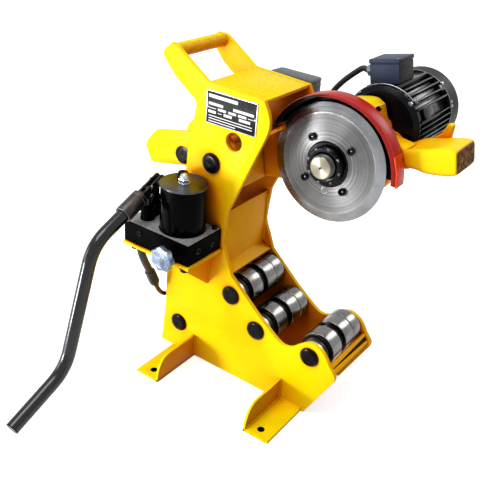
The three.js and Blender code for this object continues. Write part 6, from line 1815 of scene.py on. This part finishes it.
def add_guard():
    outer, inner, front, back = GUARD_RADIUS, GUARD_INNER, GUARD_FRONT, GUARD_BACK
    guard = Piece("wheel_guard_sheet", "red", "arm", GUARD_PLACE)
    guard.plate([*arc(outer, GUARD_START, GUARD_END), *arc(inner, GUARD_END, GUARD_START)], front, back, 0.9)
    side = [*arc(outer - 1, GUARD_START, GUARD_END), *arc(GUARD_CUTOUT, GUARD_END, GUARD_START)]
    guard.plate(side, back - 2.5, back, 0.6)
    guard.block((-60, back - 2.5, GUARD_PAD), (60, CASE_NEAR - FIT, GUARD_PAD + 19), 1)
    guard.done("red_paint", "wheel_guard")
    # The turned-in edge is deepest at the front and dies out toward the top
    growth = FLANGE_DEPTH - 2.6
    lip = crescent(FLANGE_START, FLANGE_END, 60, lambda share: 2.6 + growth * (1 - share) ** 0.6)
    # The flange is a darker copy of the guard's red: painted shade
    flange = Piece("wheel_guard_flange", "red_dark", "arm", GUARD_PLACE)
    flange.plate([*arc(outer - 0.8, FLANGE_START, FLANGE_END, 60), *lip], front - 0.1, front + 1.6, 0.3)
    flange.done("red_paint")
    # A lighter red bead along the rim: painted highlight
    edge = Piece("wheel_guard_edge_highlight", "red_edge", "arm", GUARD_PLACE)
    rim = [(x, front + 0.35, z) for x, z in arc(outer - 0.6, FLANGE_START, GUARD_END - 0.02, 96)]
    edge.sweep(rim, 0.45, 8).done("red_paint")
    # Black sheets inside the band, over the back and on the near face, where the guard looks dark inside
    black_inside = Piece("wheel_guard_black_inside", "box_black", "arm", GUARD_PLACE)
    skin = [*arc(inner - 0.05, BLACK_START, BLACK_END), *arc(inner - 0.6, BLACK_END, BLACK_START)]
    black_inside.plate(skin, front + 1.6, back - 2.6, 0.1)
    floor = [*arc(inner - 0.4, BLACK_START, BLACK_END), *arc(GUARD_CUTOUT + 1, BLACK_END, BLACK_START)]
    black_inside.plate(floor, back - 3, back - 2.45, 0.1)
    # The black band on the near face grows to its full depth within the first third
    band = crescent(BAND_START, BLACK_END, 36, lambda share: 2 + (BAND_DEPTH - 2) * min(1.0, 2.6 * share))
    black_inside.plate([*arc(outer - 1, BAND_START, BLACK_END, 36), *band], front - 0.15, front + 1.5, 0.2)
    black_inside.done("black_paint")
    # The clip is a brighter copy of the guard's red: painted light
    strip = [*arc(outer + 1.4, CLIP_START, CLIP_END, 2), *arc(outer - 1.2, CLIP_END, CLIP_START, 2)]
    clip = Piece("wheel_guard_clip", "red_bright", "arm", GUARD_PLACE)
    clip.plate(strip, front - 0.6, back - 3, 0.6).done("red_paint")
    lug = Piece("guard_rest_lug", "cast_yellow", "arm", CUTTER)
    lug.block((-16, -16, -4), (14, CASE_NEAR + 2, 2), 1.2, move((-92, 0, 52)) @ around(-24))
    lug.done("yellow_paint")


# Motor
MOTOR_RADIUS = 68
SHIELD_LOW, SHIELD_HIGH = node_box("motor_end_shield")
FRAME_LOW, FRAME_HIGH = node_box("motor_frame")
COWL_LOW, COWL_HIGH = node_box("fan_cowl")
PAD_HEIGHT = 64
BOX_HALF = 27
BOX_TALL = 39
BOX_BASE = PAD_HEIGHT + FIT

# Fin places in degrees from the top of the motor: widely spaced above, close together below
FIN_DEGREES = [33, 44, 55, 66, 84, 92, 100, 108, 116, 124, 132, 140, 148, 156, 164, 172, 180]


def fin_outline():
    """The finned frame's section, with the flat pad that carries the junction box on top."""
    valley, tip = MOTOR_RADIUS - 8, MOTOR_RADIUS
    foot = valley * math.cos(math.asin(BOX_HALF / valley))
    points = [(-BOX_HALF, PAD_HEIGHT, 1), (BOX_HALF, PAD_HEIGHT, 1), (BOX_HALF, foot)]
    places = [*FIN_DEGREES, *[-degrees for degrees in reversed(FIN_DEGREES[:-1])]]
    for degrees in places:
        angle = math.radians(90 - degrees)
        half = 2.2 if abs(degrees) < 70 else 1.5
        root, top = half / valley, half * 0.62 / tip
        fin = ((valley, root, 1.2), (tip, top, 0.8), (tip, -top, 0.8), (valley, -root, 1.2))
        for radius, shift, fillet in fin:
            points.append((radius * math.cos(angle + shift), radius * math.sin(angle + shift), fillet))
    return [*points, (-BOX_HALF, foot)]


LUG_DEGREES = (53.4, 126.6, 233.4, 306.6)
BORE_RADIUS = 35


def add_motor():
    r = MOTOR_RADIUS
    near, far = SHIELD_LOW.y, SHIELD_HIGH.y
    start, stop = FRAME_LOW.y, FRAME_HIGH.y
    drum = r - 3.6
    shield = Piece("motor_end_bell", "motor_satin", "arm", MOTOR_PLACE)
    shield.lathe([
        (8, near), (r * 0.84, near, 1), (r - 5.5, near + 3.4, 2), (r - 3, near + 5, 1),
        (r - 2.6, near + 6.2, 0.5), (drum, near + 6.6, 0.5), (drum, far, 0.5), (8, far),
    ], steps=128, closed=True)
    for degrees in FIN_DEGREES[3:]:
        for side in (-1, 1):
            shield.block((-1.3, near + 8, drum - 3), (1.3, far + 0.4, r), 0.6, around(side * degrees))
    shield.done("black_paint", "motor_end_shield")
    # A light arc over the top of the flange's rim only: painted highlight
    bow = [(x, far - 0.2, z) for x, z in arc(r - 0.9, math.radians(37), math.radians(143), 72)]
    Piece("motor_flange_highlight", "edge_grey", "arm", MOTOR_PLACE).sweep(bow, 1, 10).done("black_paint")
    body = Piece("motor_finned_frame", "motor_black", "arm", MOTOR_PLACE)
    body.plate(fin_outline(), start, stop, 0.5, [circle(0, 0, BORE_RADIUS, 64)], bevel_steps=2, arc_steps=2)
    body.done("black_paint", "motor_frame")
    details = Piece("motor_lugs", "motor_black", "arm", MOTOR_PLACE)
    bolts = Piece("motor_bolts", "edge_grey", "arm", MOTOR_PLACE)
    for degrees in LUG_DEGREES:
        turn = around(degrees)
        details.block((-6, start, r - 9), (6, start + 14, r - 0.2), 1.5, turn)
        details.block((-6, stop - 12, r - 9), (6, stop, r - 0.8), 1.5, turn)
        bolts.hexagon(7, -0.5, 3, turn @ move((0, near + 5.4, r - 5)) @ FACING_NEAR, 0.5)
        bolts.hexagon(6.5, -0.5, 3, turn @ move((0, start + 14, r - 4.6)), 0.5)
    details.block((-9, start + 20, r - 10), (9, start + 56, r - 3), 1.5, around(75))
    details.done("black_paint")
    bolts.done("black_steel")
    add_cowl()
    add_rotor()
    add_junction_box()


GRILLE_RADII = (12, 19, 26, 33.4)
COWL_SCREW_DEGREES = (48, 78, 84, 132, 228, 312)


def add_cowl():
    r = MOTOR_RADIUS
    near, far = COWL_LOW.y, COWL_HIGH.y
    cowl = Piece("fan_cowl_pressed", "cowl", "arm", MOTOR_PLACE)
    cowl.lathe([
        (r - 6, near + 1), (r - 0.2, near, 0.4), (r, near + 0.6, 0.3), (r, far - 9, 4), (r * 0.9, far, 4),
        (34, far, 0.8), (34, far - 2, 0.6), (r * 0.88, far - 2, 3), (r - 2.2, far - 9.5, 4),
        (r - 2.2, near + 3), (r - 6, near + 3),
    ], steps=128, closed=True)
    for ring in GRILLE_RADII:
        wire = [(-0.9, -1.9), (0.9, -1.9), (0.9, -0.3), (-0.9, -0.3)]
        cowl.lathe([(ring + x, far + y, 0.6) for x, y in wire], steps=72, closed=True)
    for k in range(6):
        cowl.sweep([(0.1, far - 1.1, 0), (34.5, far - 1.1, 0)], 1, 10, around(60 * k))
    cowl.lathe([(0, far - 2), (4, far - 2), (4, far - 0.2, 0.5), (0, far - 0.2)], steps=32)
    cowl.done("black_paint", "fan_cowl")
    turn_piece("fan_cowl_edge", "edge_grey", "arm", MOTOR_PLACE, [
        (r - 0.5, near - 0.05), (r + 0.15, near + 0.1, 0.1), (r + 0.15, near + 0.7, 0.1),
        (r - 0.5, near + 0.8),
    ], "black_paint", steps=128, closed=True)
    screws = Piece("fan_cowl_screws", "screw", "arm", MOTOR_PLACE)
    for degrees in COWL_SCREW_DEGREES:
        out = around(degrees) @ move((0, near + 5, r - 0.3)) @ ALONG_Z
        screws.lathe([(0, 1.4), (2, 1.1, 0.5), (2.6, 0), (0, -0.5)], out, 20)
    screws.done("bright_chrome")


FAN_RADIUS = 54
FAN_BLADES = 8
ROTOR_SHAFT_RADIUS = 6.9


def add_rotor():
    near = COWL_LOW.y + 8
    start = FRAME_LOW.y - 30
    fan = Piece("motor_fan", "box_black", "rotor", MOTOR_PLACE)
    r = FAN_RADIUS
    fan.lathe([
        (0, near), (r, near, 0.5), (r, near + 2, 0.5), (14, near + 3), (12, near + 15, 1), (0, near + 15),
    ])
    for k in range(FAN_BLADES):
        fan.block((11, near + 2, -0.9), (r - 1, near + 14, 0.9), 0.5, around(360 / FAN_BLADES * k))
    fan.lathe([(0, start), (ROTOR_SHAFT_RADIUS, start), (ROTOR_SHAFT_RADIUS, near + 1), (0, near + 1)])
    fan.done("dark_steel", "motor_rotor")
    dressed("idler_gear_cut", "roller_dark", "idler", "idler_gear", "dark_steel", 0.2)


GLAND_UP = BOX_BASE + 0.44 * BOX_TALL
SCREW_HEAD = [(0, 0.6), (1.4, 0.6), (2.6, 0.3, 0.2), (2.8, -0.4), (0, -0.4)]


def add_junction_box():
    near = FRAME_LOW.y + 10
    far = near + 56
    base, top, half = BOX_BASE, BOX_BASE + BOX_TALL, BOX_HALF
    box = Piece("junction_box_cast", "slate", "arm", MOTOR_PLACE)
    box.block((-half + 1, near + 1, base), (half - 1, far - 1, top - 7.6), 1.6, segments=3)
    box.block((-half + 2, near + 2, top - 8.2), (half - 2, far - 2, top - 6.4), 0.3)
    box.block((-half, near, top - 7), (half, far, top), 1.8, segments=3)
    box.done("slate_plastic", "junction_box")
    screws = Piece("junction_box_screws", "screw", "arm", MOTOR_PLACE)
    for x in (-half + 6, half - 6):
        for y in (near + 6, far - 6):
            screws.lathe(SCREW_HEAD, move((x, y, top - 0.4)) @ ALONG_Z, 24)
    screws.done("bright_chrome")
    side = move((-half + 1, (near + far) / 2, GLAND_UP)) @ FACING_BACK
    gland = Piece("cable_gland", "gland", "arm", MOTOR_PLACE)
    collar = [(0, -0.6), (8.6, -0.6), (8.8, 1, 0.5), (8.8, 4.6, 0.8), (7.4, 5.2), (7.4, 6), (0, 6)]
    gland.lathe(collar, side, 48)
    gland.hexagon(17, 5.4, 14.4, side, 0.8)
    gland.lathe([(0, 14), (7.4, 14), (7, 15.8, 0.6), (4.8, 17, 0.8), (0, 17)], side, 48)
    gland.done("slate_plastic")


ROCKER_HOLE = (9.6, 15.6)
SWITCH_CORNER = 9


def add_switch():
    low, high = node_box("switch_box")
    box = Piece("switch_box_shell", "switch", "frame")
    outline = [
        (low.x, low.y, 0.6), (high.x, low.y, 0.6), (high.x, high.y, SWITCH_CORNER),
        (low.x, high.y, SWITCH_CORNER),
    ]
    box.plate(outline, low.z, high.z - 7.5, 2, matrix=LAID_FLAT)
    box.plate(outline, high.z - 7, high.z, 2, matrix=LAID_FLAT)
    half_x, half_z = ROCKER_HOLE
    bezel = move((ROCKER.x, high.y, ROCKER.z))
    box.plate(rectangle(half_x + 3, half_z + 3, 2), -2, 1.2, 0.6, [rectangle(half_x, half_z)], bezel)
    box.done("black_plastic", "switch_box")
    dressed("switch_rocker_moulded", "red_plastic", "rocker", "switch_rocker", "red_plastic", 0.5)
    screws = Piece("switch_box_screws", "screw", "frame")
    for x in (low.x + 9, high.x - 9):
        for z in (low.z + 8, high.z - 14):
            head = [(0, 0.9), (1.2, 0.9), (2.6, 0.4, 0.3), (2.9, -0.4), (0, -0.4)]
            screws.lathe(head, move((x, high.y - 0.4, z)), 24)
    screws.done("bright_chrome")


# The motor cable's route, as in the CAD: out of the gland, down in a slack loop and up into the switch box
CABLE_RADIUS = 4.9
CABLE_SLACK = 46.5


def add_motor_cable():
    low, high = node_box("switch_box")
    gland = MOTOR_PLACE @ Vector((-BOX_HALF - 16.3, FRAME_LOW.y + 38, GLAND_UP))
    back = (TILTED.to_3x3() @ Vector((-1, 0, 0))).normalized()
    box_x = low.x + 0.75 * (high.x - low.x)
    box_y = low.y + 0.55 * (high.y - low.y)
    enter = Vector((box_x, box_y, low.z - FIT))
    points = [
        gland - back * 3,
        gland + back * 0.33 * CABLE_SLACK,
        Vector((box_x + 0.98 * CABLE_SLACK, (gland.y + box_y) / 2, high.z - 0.45 * CABLE_SLACK)),
        Vector((box_x + 0.75 * CABLE_SLACK, box_y, high.z - 2 * CABLE_SLACK)),
        enter - Vector((0, 0, 0.5 * CABLE_SLACK)),
        enter + Vector((0, 0, 2)),
    ]
    route = even_path(spline(points, 14), 6)
    obj = Piece("motor_cable_round", "cable", None).sweep(route, CABLE_RADIUS, 24).done(
        "cable_rubber", "motor_cable")
    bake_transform(obj)
    turn_piece("switch_cable_relief", "box_black", "frame", move(enter) @ ALONG_Z, [
        (4.6, -14), (5.2, -14, 0.4), (7.5, -4, 1), (9, -3.6, 0.5), (9, 0), (4.6, 0),
    ], "black_plastic", steps=40, closed=True)


add_side_plates()
add_cross_plates()
add_cross_bar_edges()
add_frame_welds()
for side in ("near", "far"):
    for row in ("rear", "front"):
        add_foot(side, row)
add_nameplate()
add_pins()
add_rollers()
add_bracket()
add_pump_block()
add_tank()
add_barrel()
add_lever()
add_knob()
add_cylinder()
add_hose()
add_arm()
add_case()
add_cutter()
add_guard()
add_motor()
add_switch()
add_motor_cable()
